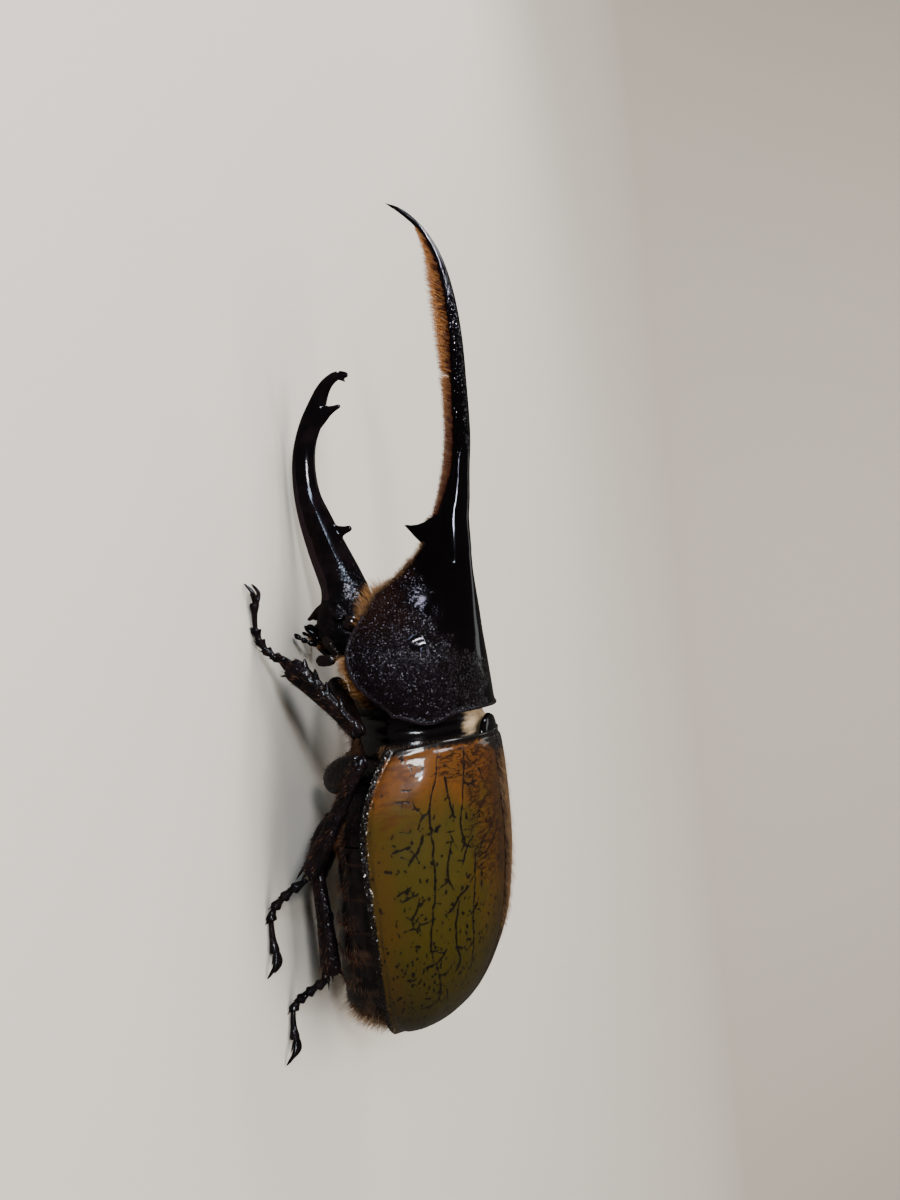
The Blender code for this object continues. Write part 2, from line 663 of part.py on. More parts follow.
def tibia(name, leg, side, dice):
    knee, ankle = Vector(leg["knee"]), Vector(leg["ankle"])
    along = (ankle - knee).normalized()
    thick = leg["thick"][1]
    outward = Vector((0.25, -0.3, 1.0)) if leg["teeth_to"] else Vector((0.55, 0, 1.0))
    outward = (outward - along * outward.dot(along)).normalized()
    across = along.cross(outward).normalized()
    rows = []
    for t, wide in ((-0.03, 0.55), (0.03, 0.85), (0.15, 0.80), (0.4, 0.9), (0.7, 1.02), (0.92, 1.12), (1.0, 0.95)):
        point = knee.lerp(ankle, t) + outward * (0.9 * t * (1 - t))
        rows.append((*point, 0.72 * thick * wide, thick * wide))
    shin = loft(name, limb_rings(rows, across, 8), PITTED, side)
    pieces = []
    length = (ankle - knee).length
    if leg["teeth_to"]:
        tip = Vector(leg["teeth_to"])
        base = knee.lerp(ankle, 0.84)
        rows = through([(*base, 1.25, 1.0), (*base.lerp(tip, 0.55), 1.05, 0.75), (*tip, 0.2, 0.18)], 2)
        pieces.append(loft("end_tooth", limb_rings(rows, outward, 7), POLISHED, side, cutters))
        for share, size in ((0.52, 1.0), (0.70, 1.25), (0.86, 1.3)):
            root = knee.lerp(ankle, share) + outward * 0.5 * thick
            pieces.append(spike(root - along * 0.5, root + outward * (0.55 * thick + size) + along * 0.9, 0.85,
                                side, 6))
        spur_root = knee.lerp(ankle, 0.95) - outward * 0.5 * thick
        pieces.append(spike(spur_root, spur_root - outward * 2.0 + along * 1.6, 0.5, side, 5))
    else:
        for share in (0.42, 0.68):
            for k in (-1, 0, 1):
                root = knee.lerp(ankle, share + 0.02 * k) + outward * 0.55 * thick + across * 0.7 * k
                pieces.append(spike(root, root + outward * (1.0 + 0.2 * dice.random()) + along * 1.2, 0.42, side, 5))
        for k in range(6):
            turn = math.radians(-75 + 50 * k)
            spread_out = outward * math.sin(turn) + across * math.cos(turn)
            root = knee.lerp(ankle, 0.93) + spread_out * 0.55 * thick
            pieces.append(spike(root, root + along * (2.1 + 0.4 * dice.random()) + spread_out * 0.9, 0.42, side, 5))
        for k, reach in ((-0.5, 3.6), (0.5, 2.9)):
            root = knee.lerp(ankle, 0.9) - outward * 0.45 * thick + across * k
            pieces.append(spike(root, root + along * (0.1 * length + reach) - outward * 1.3, 0.45, side, 5))
    return combine(shin, pieces, "UNION")


def foot_rows(leg):
    """Five joints of the foot, each wider at its far end, along the foot's path."""
    path = [Vector(row) for row in through(leg["foot"], 8)]
    lengths = [0.0]
    for first, second in zip(path, path[1:]):
        lengths.append(lengths[-1] + (second - first).length)
    total = lengths[-1]

    def place(share):
        target = share * total
        for i in range(1, len(path)):
            if lengths[i] >= target:
                t = (target - lengths[i - 1]) / (lengths[i] - lengths[i - 1])
                return path[i - 1].lerp(path[i], t)
        return path[-1]

    shares = (0.0, 0.17, 0.33, 0.49, 0.65, 1.0)
    rows = []
    for start, end in zip(shares, shares[1:]):
        span = end - start
        for t, radius in ((0.08, 0.46), (0.90, 0.84), (1.0, 0.62)):
            rows.append((*place(start + span * t), radius, radius * 0.92))
    return rows


def tarsus(name, leg, side):
    rows = foot_rows(leg)
    foot = loft(name, limb_rings(rows, Vector((1, 0, 0)), 6), POLISHED, side)
    end = Vector(rows[-1][:3])
    tip = Vector(leg["claws"])
    pieces = []
    for k in (-1, 1):
        out = Vector((1.0 * k, 0, 0))
        hook = end.lerp(tip, 0.5) + out * 0.9 + Vector((0, 0, 1.0))
        rows = through([(*(end - (tip - end) * 0.12 + Vector((0, 0, 0.05))), 0.42, 0.42), (*hook, 0.4, 0.42),
                        (*(tip + out * 1.15), 0.14, 0.14)], 2)
        pieces.append(loft("claw", limb_rings(rows, Vector((1, 0, 0)), 5), POLISHED, side, cutters))
    for row, following in zip(rows[1:-3:3], rows[3::3]):
        base = Vector(row[:3])
        ahead = (Vector(following[:3]) - base).normalized()
        for k in (-1, 1):
            pieces.append(spike(base, base + ahead * 1.3 + Vector((0.75 * k, 0, -0.5)), 0.3, side, 4))
    return off_the_floor(combine(foot, pieces, "UNION"))


def build_leg(place, leg, side_name, trunk):
    side = SIDES[side_name]
    dice = random.Random(SEED + len(place))
    thigh = femur(f"femur_{place}_{side_name}", leg, side)
    clear_of(thigh, *trunk)
    shin = tibia(f"tibia_{place}_{side_name}", leg, side, dice)
    clear_of(shin, thigh, *trunk)
    foot = tarsus(f"tarsus_{place}_{side_name}", leg, side)
    clear_of(foot, shin)
    return thigh, shin, foot


def build():
    shield = pronotum()
    clear_of(thoracic_horn(), shield)
    skull = head()
    clear_of(skull, shield, cephalic_horn())
    for side_name, side in SIDES.items():
        ball = eye(f"eye_{side_name}", side)
        clear_of(skull, ball, gap=0.25)
        clear_of(ball, shield)
        jaw = mandible(f"mandible_{side_name}", side)
        clear_of(jaw, skull)
        feeler = antenna(f"antenna_{side_name}", side)
        clear_of(feeler, skull, shield)
        clear_of(palp(f"palp_{side_name}", side), skull, jaw)
    lip = labium()
    clear_of(lip, skull, *[bpy.data.objects[f"{part}_{side}"] for part in ("mandible", "palp") for side in SIDES])
    shelf = scutellum()
    neck = mesothorax()
    clear_of(neck, shield, shelf)
    for side_name, side in SIDES.items():
        shell = elytron(f"elytron_{side_name}", side)
        clear_of(shell, shelf, neck)
    chest = clear_of(metathorax(), shelf)
    hind_body = abdomen()
    trunk = [shield, neck, chest, hind_body]
    for side_name in SIDES:
        shells = trunk + [bpy.data.objects[f"elytron_{side_name}"]]
        for place, leg in LEGS.items():
            build_leg(place, leg, side_name, shells)


build()
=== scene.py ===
# %% [markdown]
# # A Hercules beetle, feeler to wing tip
#
# This lesson dresses a life-size model of *Dynastes ecuatorianus*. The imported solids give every
# plate and joint its place, and they stay in the scene as the hidden frame. Each step below puts
# a finer piece over one of them: horns and plates as moulded shells, markings painted by nodes,
# and hair as thin mesh tufts. Lengths are written in millimetres, as a model maker would
# measure them, and become metres when a mesh is made.

# %% The frame that everything fits on
import math
import random

import bmesh
import bpy
from mathutils import Matrix, Vector, kdtree, noise


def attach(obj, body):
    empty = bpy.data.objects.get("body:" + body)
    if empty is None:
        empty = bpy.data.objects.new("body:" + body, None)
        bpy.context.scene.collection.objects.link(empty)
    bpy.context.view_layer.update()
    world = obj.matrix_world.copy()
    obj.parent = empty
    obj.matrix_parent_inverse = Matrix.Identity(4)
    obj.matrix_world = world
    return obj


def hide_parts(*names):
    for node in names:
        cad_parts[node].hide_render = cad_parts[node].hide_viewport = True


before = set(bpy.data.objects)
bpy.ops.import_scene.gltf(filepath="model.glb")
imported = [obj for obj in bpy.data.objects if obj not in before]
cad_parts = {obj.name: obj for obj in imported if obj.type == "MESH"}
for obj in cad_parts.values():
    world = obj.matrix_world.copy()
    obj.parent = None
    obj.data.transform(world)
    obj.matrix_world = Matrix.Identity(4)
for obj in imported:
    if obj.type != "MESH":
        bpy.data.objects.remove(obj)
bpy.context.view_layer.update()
MM = 0.001
SIDES = {"left": 1, "right": -1}
# the beetle's own ways: to its left, to its tail and up
ACROSS = Vector((1, 0, 0))
TAILWARDS = Vector((0, 1, 0))
UP = Vector((0, 0, 1))

# %% [markdown]
# The beetle faces up in the picture, and its left side and back are towards us. The camera is
# therefore turned on its side. It stands to the left of the beetle, a little above it, and its
# upward edge points along the horns. A phone's short lens close to the animal gives a strong
# perspective, so the distance matters as much as the lens.

# %% A camera on its side
VIEW_DISTANCE = 153.6
VIEW_RISE = math.radians(17)
VIEW_PITCH = math.radians(6)
VIEW_CENTRE = Vector((0.0, -1.0, 28.6))
FOCAL_SHARE = 901 / 1200

image_right = Vector((
    -math.sin(VIEW_RISE),
    math.sin(VIEW_PITCH) * math.cos(VIEW_RISE),
    math.cos(VIEW_PITCH) * math.cos(VIEW_RISE),
))
image_up = Vector((0.0, -math.cos(VIEW_PITCH), math.sin(VIEW_PITCH)))
towards_camera = image_right.cross(image_up)

lens = bpy.data.cameras.new("camera")
lens.sensor_fit = "AUTO"
lens.sensor_width = 36.0
lens.lens = FOCAL_SHARE * lens.sensor_width
lens.clip_start = 0.005
camera = bpy.data.objects.new("camera", lens)
bpy.context.scene.collection.objects.link(camera)
turn = Matrix((image_right, image_up, towards_camera)).transposed()
camera.matrix_world = Matrix.Translation(
    (VIEW_CENTRE + towards_camera * VIEW_DISTANCE) * MM
) @ turn.to_4x4()
bpy.context.scene.camera = camera
print("camera at", [round(v * 1000, 1) for v in camera.location], "mm")

# %% [markdown]
# Black, polished shell shows little of its own colour. What the eye reads is the light that it
# mirrors, so the lamps are placed for their reflections, and most of them light only the pieces
# whose highlight they draw. Small narrow beams put the sparks on the horn and the shield, flat
# lamps put the wet patches on the wing covers, and a dim room gives the rest.
# The floor is a plain pale sheet that curves up far behind the model, so that no edge shows.

# %% Floor, lamps and room
FLOOR_COLOUR = (0.74, 0.68, 0.6)
ROOM_COLOUR = (0.5, 0.46, 0.41)
ROOM_LIGHT = 0.14


def hang_lamp(data, place, aim, watts, colour):
    """Hang a lamp at a place in millimetres, turned towards a point."""
    data.energy = watts
    data.color = colour
    made = bpy.data.objects.new(data.name, data)
    bpy.context.scene.collection.objects.link(made)
    made.location = Vector(place) * MM
    made.rotation_mode = "QUATERNION"
    made.rotation_quaternion = (Vector(aim) - Vector(place)).to_track_quat("-Z", "Y")
    return made


def lamp(name, place, aim, size, watts, colour=(1.0, 1.0, 1.0), long_side=None):
    """A flat lamp: a disk, or a rectangle where a long side is given."""
    data = bpy.data.lights.new(name, "AREA")
    data.shape = "RECTANGLE" if long_side else "DISK"
    data.size = size * MM
    if long_side:
        data.size_y = long_side * MM
    return hang_lamp(data, place, aim, watts, colour)


def beam(name, place, aim, radius, cone, watts, colour=(1.0, 1.0, 1.0)):
    """A lamp that lights a small circle, for one highlight."""
    data = bpy.data.lights.new(name, "SPOT")
    data.shadow_soft_size = radius * MM
    data.spot_size = math.radians(cone)
    data.spot_blend = 0.5
    return hang_lamp(data, place, aim, watts, colour)


def matte(name, colour):
    made = bpy.data.materials.new(name)
    made.use_nodes = True
    shader = made.node_tree.nodes["Principled BSDF"]
    shader.inputs["Base Color"].default_value = (*colour, 1.0)
    shader.inputs["Roughness"].default_value = 0.9
    shader.inputs["Specular IOR Level"].default_value = 0.15
    return made


def studio_floor():
    reach, bend, rise, steps = 2400.0, 900.0, 1500.0, 18
    profile = [(900.0, 0.0), (-reach + bend, 0.0)]
    for i in range(1, steps + 1):
        angle = math.pi / 2 * i / steps
        profile.append((-reach + bend - bend * math.sin(angle), bend * (1 - math.cos(angle))))
    profile.append((-reach, bend + rise))
    shape = bmesh.new()
    near = [shape.verts.new((x * MM, -2.2, z * MM)) for x, z in profile]
    far = [shape.verts.new((x * MM, 2.2, z * MM)) for x, z in profile]
    for i in range(len(profile) - 1):
        shape.faces.new((near[i], near[i + 1], far[i + 1], far[i]))
    bmesh.ops.recalc_face_normals(shape, faces=shape.faces)
    data = bpy.data.meshes.new("floor")
    shape.to_mesh(data)
    shape.free()
    data.shade_smooth()
    data.materials.append(matte("floor_paper", FLOOR_COLOUR))
    made = bpy.data.objects.new("floor", data)
    bpy.context.scene.collection.objects.link(made)
    # black lacquer at a glancing angle would mirror the whole backdrop, so reflections see the dim room
    made.visible_glossy = False


studio_floor()
room = bpy.data.worlds.new("room")
bpy.context.scene.world = room
room.use_nodes = True
room.node_tree.nodes["Background"].inputs["Color"].default_value = (*ROOM_COLOUR, 1.0)
room.node_tree.nodes["Background"].inputs["Strength"].default_value = ROOM_LIGHT

flash = lamp("flash_lamp", (330, -130, 250), (0, 0, 18), 62, 0.95, (1.0, 0.985, 0.97))
window = lamp("window_lamp", (300, -190, 200), (0, 10, 20), 62, 0.62, (0.7, 0.86, 1.0), long_side=96)
lamp("front_lamp", (-120, -372, 240), (0, -10, 28), 120, 0.9, (0.9, 0.93, 1.0), long_side=165)
low_lamp = lamp("low_lamp", (180, -294, 112), (16, 22, 26), 72, 1.2, (1.0, 0.98, 0.97), long_side=130)
# the low lamp is only for the wing covers: it draws the wet crescent at their shoulders
lit_by_low_lamp = bpy.data.collections.new("lit_by_low_lamp")
low_lamp.light_linking.receiver_collection = lit_by_low_lamp
# the shield with its horn is a near mirror. It has lamps of its own, and the flashes on the covers spare it
spared_by_flash = bpy.data.collections.new("spared_by_flash")
flash.light_linking.receiver_collection = spared_by_flash
window.light_linking.receiver_collection = spared_by_flash
lit_by_horn_lamps = bpy.data.collections.new("lit_by_horn_lamps")
for horn_lamp in (
    beam("dent_beam", (101, -69, 118), (12.5, 8.5, 25.5), 6.5, 3.6, 0.34, (1.0, 0.99, 1.0)),
    beam("dent_window", (86, -103, 98), (13, 9.0, 25), 7.5, 3.4, 0.13, (0.62, 0.78, 1.0)),
    beam("flank_beam", (120, -34, 122), (3, -17, 32), 6, 7.0, 0.24, (0.8, 0.9, 1.0)),
    beam("tip_beam_1", (60, -240, 114), (0.5, -82, 30), 24, 6.0, 13.0, (0.97, 0.97, 1.0)),
    beam("tip_beam_2", (92, -215, 127), (0.5, -80, 31), 24, 6.0, 13.0, (0.97, 0.97, 1.0)),
    beam("tip_beam_3", (120, -185, 134), (0.5, -76, 32), 24, 6.0, 9.0, (0.8, 0.8, 1.0)),
    lamp("flank_glitter", (160, -359, 72), (8, 5, 24), 64, 0.3, (0.82, 0.84, 1.0)),
):
    horn_lamp.light_linking.receiver_collection = lit_by_horn_lamps
lamp("ceiling_panel", (-230, -60, 260), (0, -10, 25), 160, 0.06, (0.92, 0.97, 0.92), long_side=70)
wash = lamp(
    "backdrop_wash", (-300, 0, 2600), (-2100, 0, 500), 2400, 95.0, (1.0, 0.97, 0.93), long_side=3200
)
wash.visible_glossy = False

# %% [markdown]
# Every piece below is drawn as rings of points, laid along a path and joined by faces. Three small
# helpers do this. A smooth curve runs through a few named stations, rings stand square to it,
# and a skin closes over the rings. It is the way that horns, legs and feelers grow, so a handful
# of widths describes each one.

# %% Rings, paths and skins
THINNEST = 0.02


def through(rows, steps):
    """A smooth curve through rows of numbers, with some steps from each row to the next."""
    padded = [rows[0], *rows, rows[-1]]
    found = []
    for before, start, end, after in zip(padded, padded[1:], padded[2:], padded[3:]):
        for step in range(steps):
            t = step / steps
            found.append(tuple(
                0.5 * (2 * b + (c - a) * t + (2 * a - 5 * b + 4 * c - d) * t * t
                       + (3 * b - a - 3 * c + d) * t ** 3)
                for a, b, c, d in zip(before, start, end, after)
            ))
    return [*found, tuple(rows[-1])]


def read_off(rows, place):
    """The values of a list of stations at one place along its first column."""
    if place <= rows[0][0]:
        return rows[0][1:]
    for low, high in zip(rows, rows[1:]):
        if place <= high[0]:
            t = (place - low[0]) / (high[0] - low[0])
            t = 0.5 * t + 0.5 * t * t * (3 - 2 * t)
            return tuple(a + (b - a) * t for a, b in zip(low[1:], high[1:]))
    return rows[-1][1:]


def spread(low, high, count):
    return [low + (high - low) * i / (count - 1) for i in range(count)]


def smooth_step(low, high, value):
    t = min(max((value - low) / (high - low), 0.0), 1.0)
    return t * t * (3 - 2 * t)


def power(value, exponent):
    return math.copysign(abs(value) ** exponent, value)


def oval(centre, across, up, half_width, half_height, sides, roundness=1.0):
    ring = []
    for i in range(sides):
        turn = 2 * math.pi * (i + 0.5) / sides
        ring.append(
            centre
            + across * (half_width * power(math.cos(turn), roundness))
            + up * (half_height * power(math.sin(turn), roundness))
        )
    return ring


def body_ring(y, half_width, top, waist, bottom, upper, lower, count=72):
    """A ring round the body, with one roundness above its waist and another below."""
    ring = []
    for i in range(count):
        turn = 2 * math.pi * (i + 0.5) / count
        c, s = math.cos(turn), math.sin(turn)
        shape, tall = (upper, top - waist) if s > 0 else (lower, waist - bottom)
        ring.append(Vector((half_width * power(c, shape), y, waist + tall * power(s, shape))))
    return ring


def skin(rings):
    """A closed form, as points and faces, over rings that all have the same count."""
    count = len(rings[0])
    points = [p for ring in rings for p in ring]
    faces = []
    for row in range(len(rings) - 1):
        for i in range(count):
            j = (i + 1) % count
            a, b = row * count, (row + 1) * count
            faces.append((a + i, a + j, b + j, b + i))
    for ring, first, turned in ((rings[0], 0, True), (rings[-1], (len(rings) - 1) * count, False)):
        points.append(sum(ring, Vector()) / count)
        for i in range(count):
            pair = (first + i, first + (i + 1) % count)
            faces.append((*(reversed(pair) if turned else pair), len(points) - 1))
    return points, faces


def heading(points, i):
    """Which way a path runs at one of its points."""
    return (points[min(i + 1, len(points) - 1)] - points[max(i - 1, 0)]).normalized()


def squared(way, along):
    """The part of a direction that is square to another."""
    return (way - along * way.dot(along)).normalized()


def limb(rows, flat, sides=20, steps=5, roundness=1.0):
    """A form along a path. A row is x, y, z, half width and half height, or x, y, z and one radius.

    The wide way lies along flat."""
    path = through(rows, steps)
    points = [Vector(row[:3]) for row in path]
    rings = []
    for i, row in enumerate(path):
        along = heading(points, i)
        across = squared(flat, along)
        half_width, half_height = max(row[3], THINNEST), max(row[-1], THINNEST)
        rings.append(
            oval(points[i], across, along.cross(across), half_width, half_height, sides, roundness)
        )
    return skin(rings)


def thorn(root, tip, radius, hook=0.0, sides=10):
    """A spine from a root to a tip, thick at the root and bent a little downwards."""
    start, end = Vector(root), Vector(tip)
    sag = Vector((0, 0, -hook))
    rows = []
    for t, share in ((0.0, 1.0), (0.35, 0.78), (0.7, 0.45), (0.93, 0.2), (1.0, 0.1)):
        rows.append((*(start.lerp(end, t) - sag * (t * (1 - t) * 4)), radius * share))
    flat = UP if abs((end - start).normalized().z) < 0.8 else ACROSS
    return limb(rows, flat, sides, 2)


print("a thorn has", len(thorn((0, 0, 0), (0, 0, 3), 0.4)[1]), "faces")

# %% [markdown]
# Shell grows without seams: a tooth swells out of its horn like pulled toffee. Boolean unions
# leave a hard crease there. A voxel remesh of overlapping forms gives one even skin instead, as
# wet clay does, and a few rounds of smoothing soften the meeting lines. The modifiers are then
# turned into a plain mesh. Pieces of the right side are mirror images of the left ones.

# %% Clay, and a mirror
model = bpy.data.collections.new("hercules_beetle")
bpy.context.scene.collection.children.link(model)


def solid(name, forms, material=None):
    """One object from several forms in millimetres."""
    points, faces = [], []
    for form_points, form_faces in forms:
        start = len(points)
        points += [tuple(p * MM) for p in form_points]
        faces += [tuple(start + i for i in face) for face in form_faces]
    data = bpy.data.meshes.new(name)
    data.from_pydata(points, [], faces)
    shape = bmesh.new()
    shape.from_mesh(data)
    bmesh.ops.recalc_face_normals(shape, faces=shape.faces)
    shape.to_mesh(data)
    shape.free()
    data.shade_smooth()
    if material:
        data.materials.append(material)
    made = bpy.data.objects.new(name, data)
    model.objects.link(made)
    return made


def settled(piece):
    """Turn a piece's modifiers into its plain mesh."""
    evaluated = piece.evaluated_get(bpy.context.evaluated_depsgraph_get())
    data = bpy.data.meshes.new_from_object(evaluated)
    data.name = piece.name
    old = piece.data
    piece.modifiers.clear()
    piece.data = data
    bpy.data.meshes.remove(old)
    data.shade_smooth()
    return piece


def moulded(name, forms, material, grain, rounds=4):
    """Fuse closed forms into one soft skin. The grain is the size of its faces in millimetres."""
    piece = solid(name, forms, material)
    clay = piece.modifiers.new("clay", "REMESH")
    clay.mode = "VOXEL"
    clay.voxel_size = grain * MM
    soft = piece.modifiers.new("soft", "SMOOTH")
    soft.factor = 0.5
    soft.iterations = rounds
    settled(piece)
    if not piece.data.materials:
        piece.data.materials.append(material)
    return piece


def mirrored(piece, name):
    """The same piece on the other side of the beetle."""
    data = piece.data.copy()
    data.name = name
    data.transform(Matrix.Diagonal((-1, 1, 1, 1)))
    data.flip_normals()
    made = bpy.data.objects.new(name, data)
    model.objects.link(made)
    return made


def displaced(piece, amount):
    """Move each point of a piece along its normal by what a rule says, in millimetres."""
    normals = [v.normal.copy() for v in piece.data.vertices]
    for vertex, normal in zip(piece.data.vertices, normals):
        vertex.co += normal * (amount(vertex.co / MM, normal) * MM)
    piece.data.update()
    return piece


def keep_values(piece, name, values):
    """Keep a number at each point of a piece, for its finish to read."""
    piece.data.attributes.new(name, "FLOAT", "POINT").data.foreach_set("value", values)


def search_tree(places):
    tree = kdtree.KDTree(len(places))
    for index, place in enumerate(places):
        tree.insert(place, index)
    tree.balance()
    return tree


def stands_for(piece, slot_name, *nodes):
    """Seat a finished piece in the frame, in place of the solids that it dresses."""
    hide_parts(*nodes)
    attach(piece, "root")
    print(f"{piece.name}: {len(piece.data.polygons)} faces, for {', '.join(nodes)}")


def facets(piece):
    return sum(len(p.vertices) - 2 for p in piece.data.polygons)


print("the pieces of the model go into the collection", model.name)

# %% [markdown]
# A finish is a small tree of nodes. These classes keep the building of one short. A value that
# nodes work out can be added and multiplied like any number, and each sum adds its own node. A
# finish measures in millimetres of Object coordinates, so a pit stays the same size on every
# plate, and each method adds one layer, such as noise, pits, a step or a bump.

# %% A maker of finishes


class Value:
    """A number that nodes work out at each point. A sum or product with it adds the node for that."""

    def __init__(self, maker, socket):
        self.maker = maker
        self.socket = socket

    def __add__(self, other):
        return self.maker.math("ADD", self, other)

    def __sub__(self, other):
        return self.maker.math("SUBTRACT", self, other)

    def __rsub__(self, other):
        return self.maker.math("SUBTRACT", other, self)

    def __mul__(self, other):
        return self.maker.math("MULTIPLY", self, other)

    def __truediv__(self, other):
        return self.maker.math("DIVIDE", self, other)

    def __abs__(self):
        return self.maker.math("ABSOLUTE", self)


class Maker:
    """A tree of nodes in the making. An input takes a plain value or the output of another node."""

    def feed(self, value, socket):
        if isinstance(value, Value):
            value = value.socket
        if isinstance(value, bpy.types.NodeSocket):
            self.tree.links.new(value, socket)
        else:
            socket.default_value = value

    def node(self, kind, inputs, settings):
        made = self.tree.nodes.new(kind)
        for key, value in settings.items():
            setattr(made, key, value)
        for key, value in (inputs or {}).items():
            self.feed(value, made.inputs[key])
        return made

    def math(self, operation, *values, clamp=False):
        settings = {"operation": operation, "use_clamp": clamp}
        return Value(self, self.node("ShaderNodeMath", dict(enumerate(values)), settings).outputs[0])

    def vector(self, operation, *values, output=0):
        made = self.node("ShaderNodeVectorMath", dict(enumerate(values)), {"operation": operation})
        return made.outputs[output]

    def scaled(self, vector, factor):
        return self.node(
            "ShaderNodeVectorMath", {0: vector, "Scale": factor}, {"operation": "SCALE"}
        ).outputs[0]

    def joined(self, x=0.0, y=0.0, z=0.0):
        return self.node("ShaderNodeCombineXYZ", {0: x, 1: y, 2: z}, {}).outputs[0]

    def split(self, vector):
        return [
            Value(self, socket) for socket in self.node("ShaderNodeSeparateXYZ", {0: vector}, {}).outputs
        ]


class Finish(Maker):
    """A material in the making, with a method for each layer that shell, paint and hair need."""

    def __init__(
        self, name, roughness=0.3, coat=0.0, coat_roughness=0.05, specular=0.5, tint=(1.0, 1.0, 1.0)
    ):
        self.material = bpy.data.materials.new(name)
        self.material.use_nodes = True
        self.tree = self.material.node_tree
        self.shader = self.tree.nodes["Principled BSDF"]
        self.shader.inputs["Roughness"].default_value = roughness
        self.shader.inputs["Coat Weight"].default_value = coat
        self.shader.inputs["Coat Roughness"].default_value = coat_roughness
        self.shader.inputs["Specular IOR Level"].default_value = specular
        self.shader.inputs["Specular Tint"].default_value = (*tint, 1.0)
        place = self.add("TexCoord").outputs["Object"]
        self.mm = self.add(
            "Mapping", {"Vector": place, "Scale": (1 / MM, 1 / MM, 1 / MM)}
        ).outputs["Vector"]
        self.x, self.y, self.z = self.split(self.mm)

    def add(self, kind, inputs=None, **settings):
        return self.node("ShaderNode" + kind, inputs, settings)

    def value(self, kind, inputs=None, output=0, **settings):
        """A node's output, ready for sums and products."""
        return Value(self, self.add(kind, inputs, **settings).outputs[output])

    def kept(self, name):
        """A number that the mesh keeps at each of its points."""
        return self.value("Attribute", output="Fac", attribute_name=name)

    def most(self, *values):
        """The greatest of some values."""
        found = values[0]
        for value in values[1:]:
            found = self.math("MAXIMUM", found, value)
        return found

    def noise(self, size, detail=3.0, stretch=None, roughness=0.55):
        where = self.mm
        if stretch:
            where = self.add("Mapping", {"Vector": self.mm, "Scale": stretch}).outputs["Vector"]
        sockets = {"Vector": where, "Scale": 1 / size, "Detail": detail, "Roughness": roughness}
        return self.value("TexNoise", sockets, "Fac")

    def cells(self, size, feature="F1", where=None, output="Distance", randomness=1.0):
        sockets = {"Vector": where or self.mm, "Scale": 1 / size, "Randomness": randomness}
        return self.value("TexVoronoi", sockets, output, feature=feature)

    def step(self, value, low, high, to_low=0.0, to_high=1.0):
        """A smooth step from one value to another."""
        sockets = {"Value": value, "From Min": low, "From Max": high, "To Min": to_low, "To Max": to_high}
        return self.value("MapRange", sockets, "Result", interpolation_type="SMOOTHSTEP")

    def blend(self, share, first, second):
        made = self.add("Mix", data_type="RGBA")
        for index, value in ((0, share), (6, first), (7, second)):
            self.feed((*value, 1.0) if isinstance(value, tuple) else value, made.inputs[index])
        return made.outputs[2]

    def bump(self, height, depth, under=None, strength=1.0):
        """Relief of a depth in millimetres, over the relief below it if there is one."""
        sockets = {"Height": height, "Distance": depth * MM, "Strength": strength}
        if under:
            sockets["Normal"] = under
        return self.add("Bump", sockets).outputs["Normal"]

    def grains(self, size, lean, share, where=None):
        """Normals that lean by chance from grain to grain, so that a few of them catch the lamp."""
        chance = self.cells(size, output="Color", where=where)
        centred = self.vector("SUBTRACT", chance, (0.5, 0.5, 0.5))
        upright = self.add("NewGeometry").outputs["Normal"]
        return self.vector("NORMALIZE", self.vector("ADD", upright, self.scaled(centred, share * lean)))

    def wire(self, **sockets):
        """Lead results to the shader, and hand the finished material over."""
        names = {
            "colour": "Base Color", "roughness": "Roughness", "normal": "Normal",
            "coat_normal": "Coat Normal"
        }
        for key, value in sockets.items():
            self.feed(value, self.shader.inputs[names[key]])
        return self.material


print("finishes measure in millimetres of Object coordinates")

# %% [markdown]
# The black shell isn't one finish. The horns and the middle of the thorax are polished like
# lacquer, over a brown so dark that it shows only where light rakes it. The sides of the thorax
# are stippled: each grain leans its own way by chance, and a few of them catch the lamp. Seen
# from a step away this is a violet-white sparkle. Grains and pits are cells of a Voronoi
# pattern, and a mask by place says where they fade out.

# %% Black shell: polished, pitted and leathery
DEEP_BLACK = (0.0022, 0.0016, 0.0021)
PLUM_BLACK = (0.0075, 0.004, 0.0055)
CHESTNUT = (0.026, 0.0098, 0.0058)
# the middle of the polished spot in the dent of the flank, in millimetres
DENT_GLOSS = (11.4, 5.4, 25.9)


def plum_clouds(made, size, low, high):
    """Black with clouds of dark plum in it."""
    return made.blend(made.step(made.noise(size), low, high), DEEP_BLACK, PLUM_BLACK)


def polished_shell():
    """Lacquer black with faint scratches and a scatter of tiny dents."""
    made = Finish("polished_shell", roughness=0.3, coat=0.8, coat_roughness=0.05, specular=0.0)
    scratches = made.noise(0.35, 4.0, stretch=(1.0, 0.22, 1.0))
    dents = made.step(made.cells(0.9), 0.05, 0.16)
    relief = made.bump(dents, 0.02, made.bump(scratches, 0.012))
    return made.wire(colour=plum_clouds(made, 4.0, 0.45, 0.75), normal=relief, coat_normal=relief)


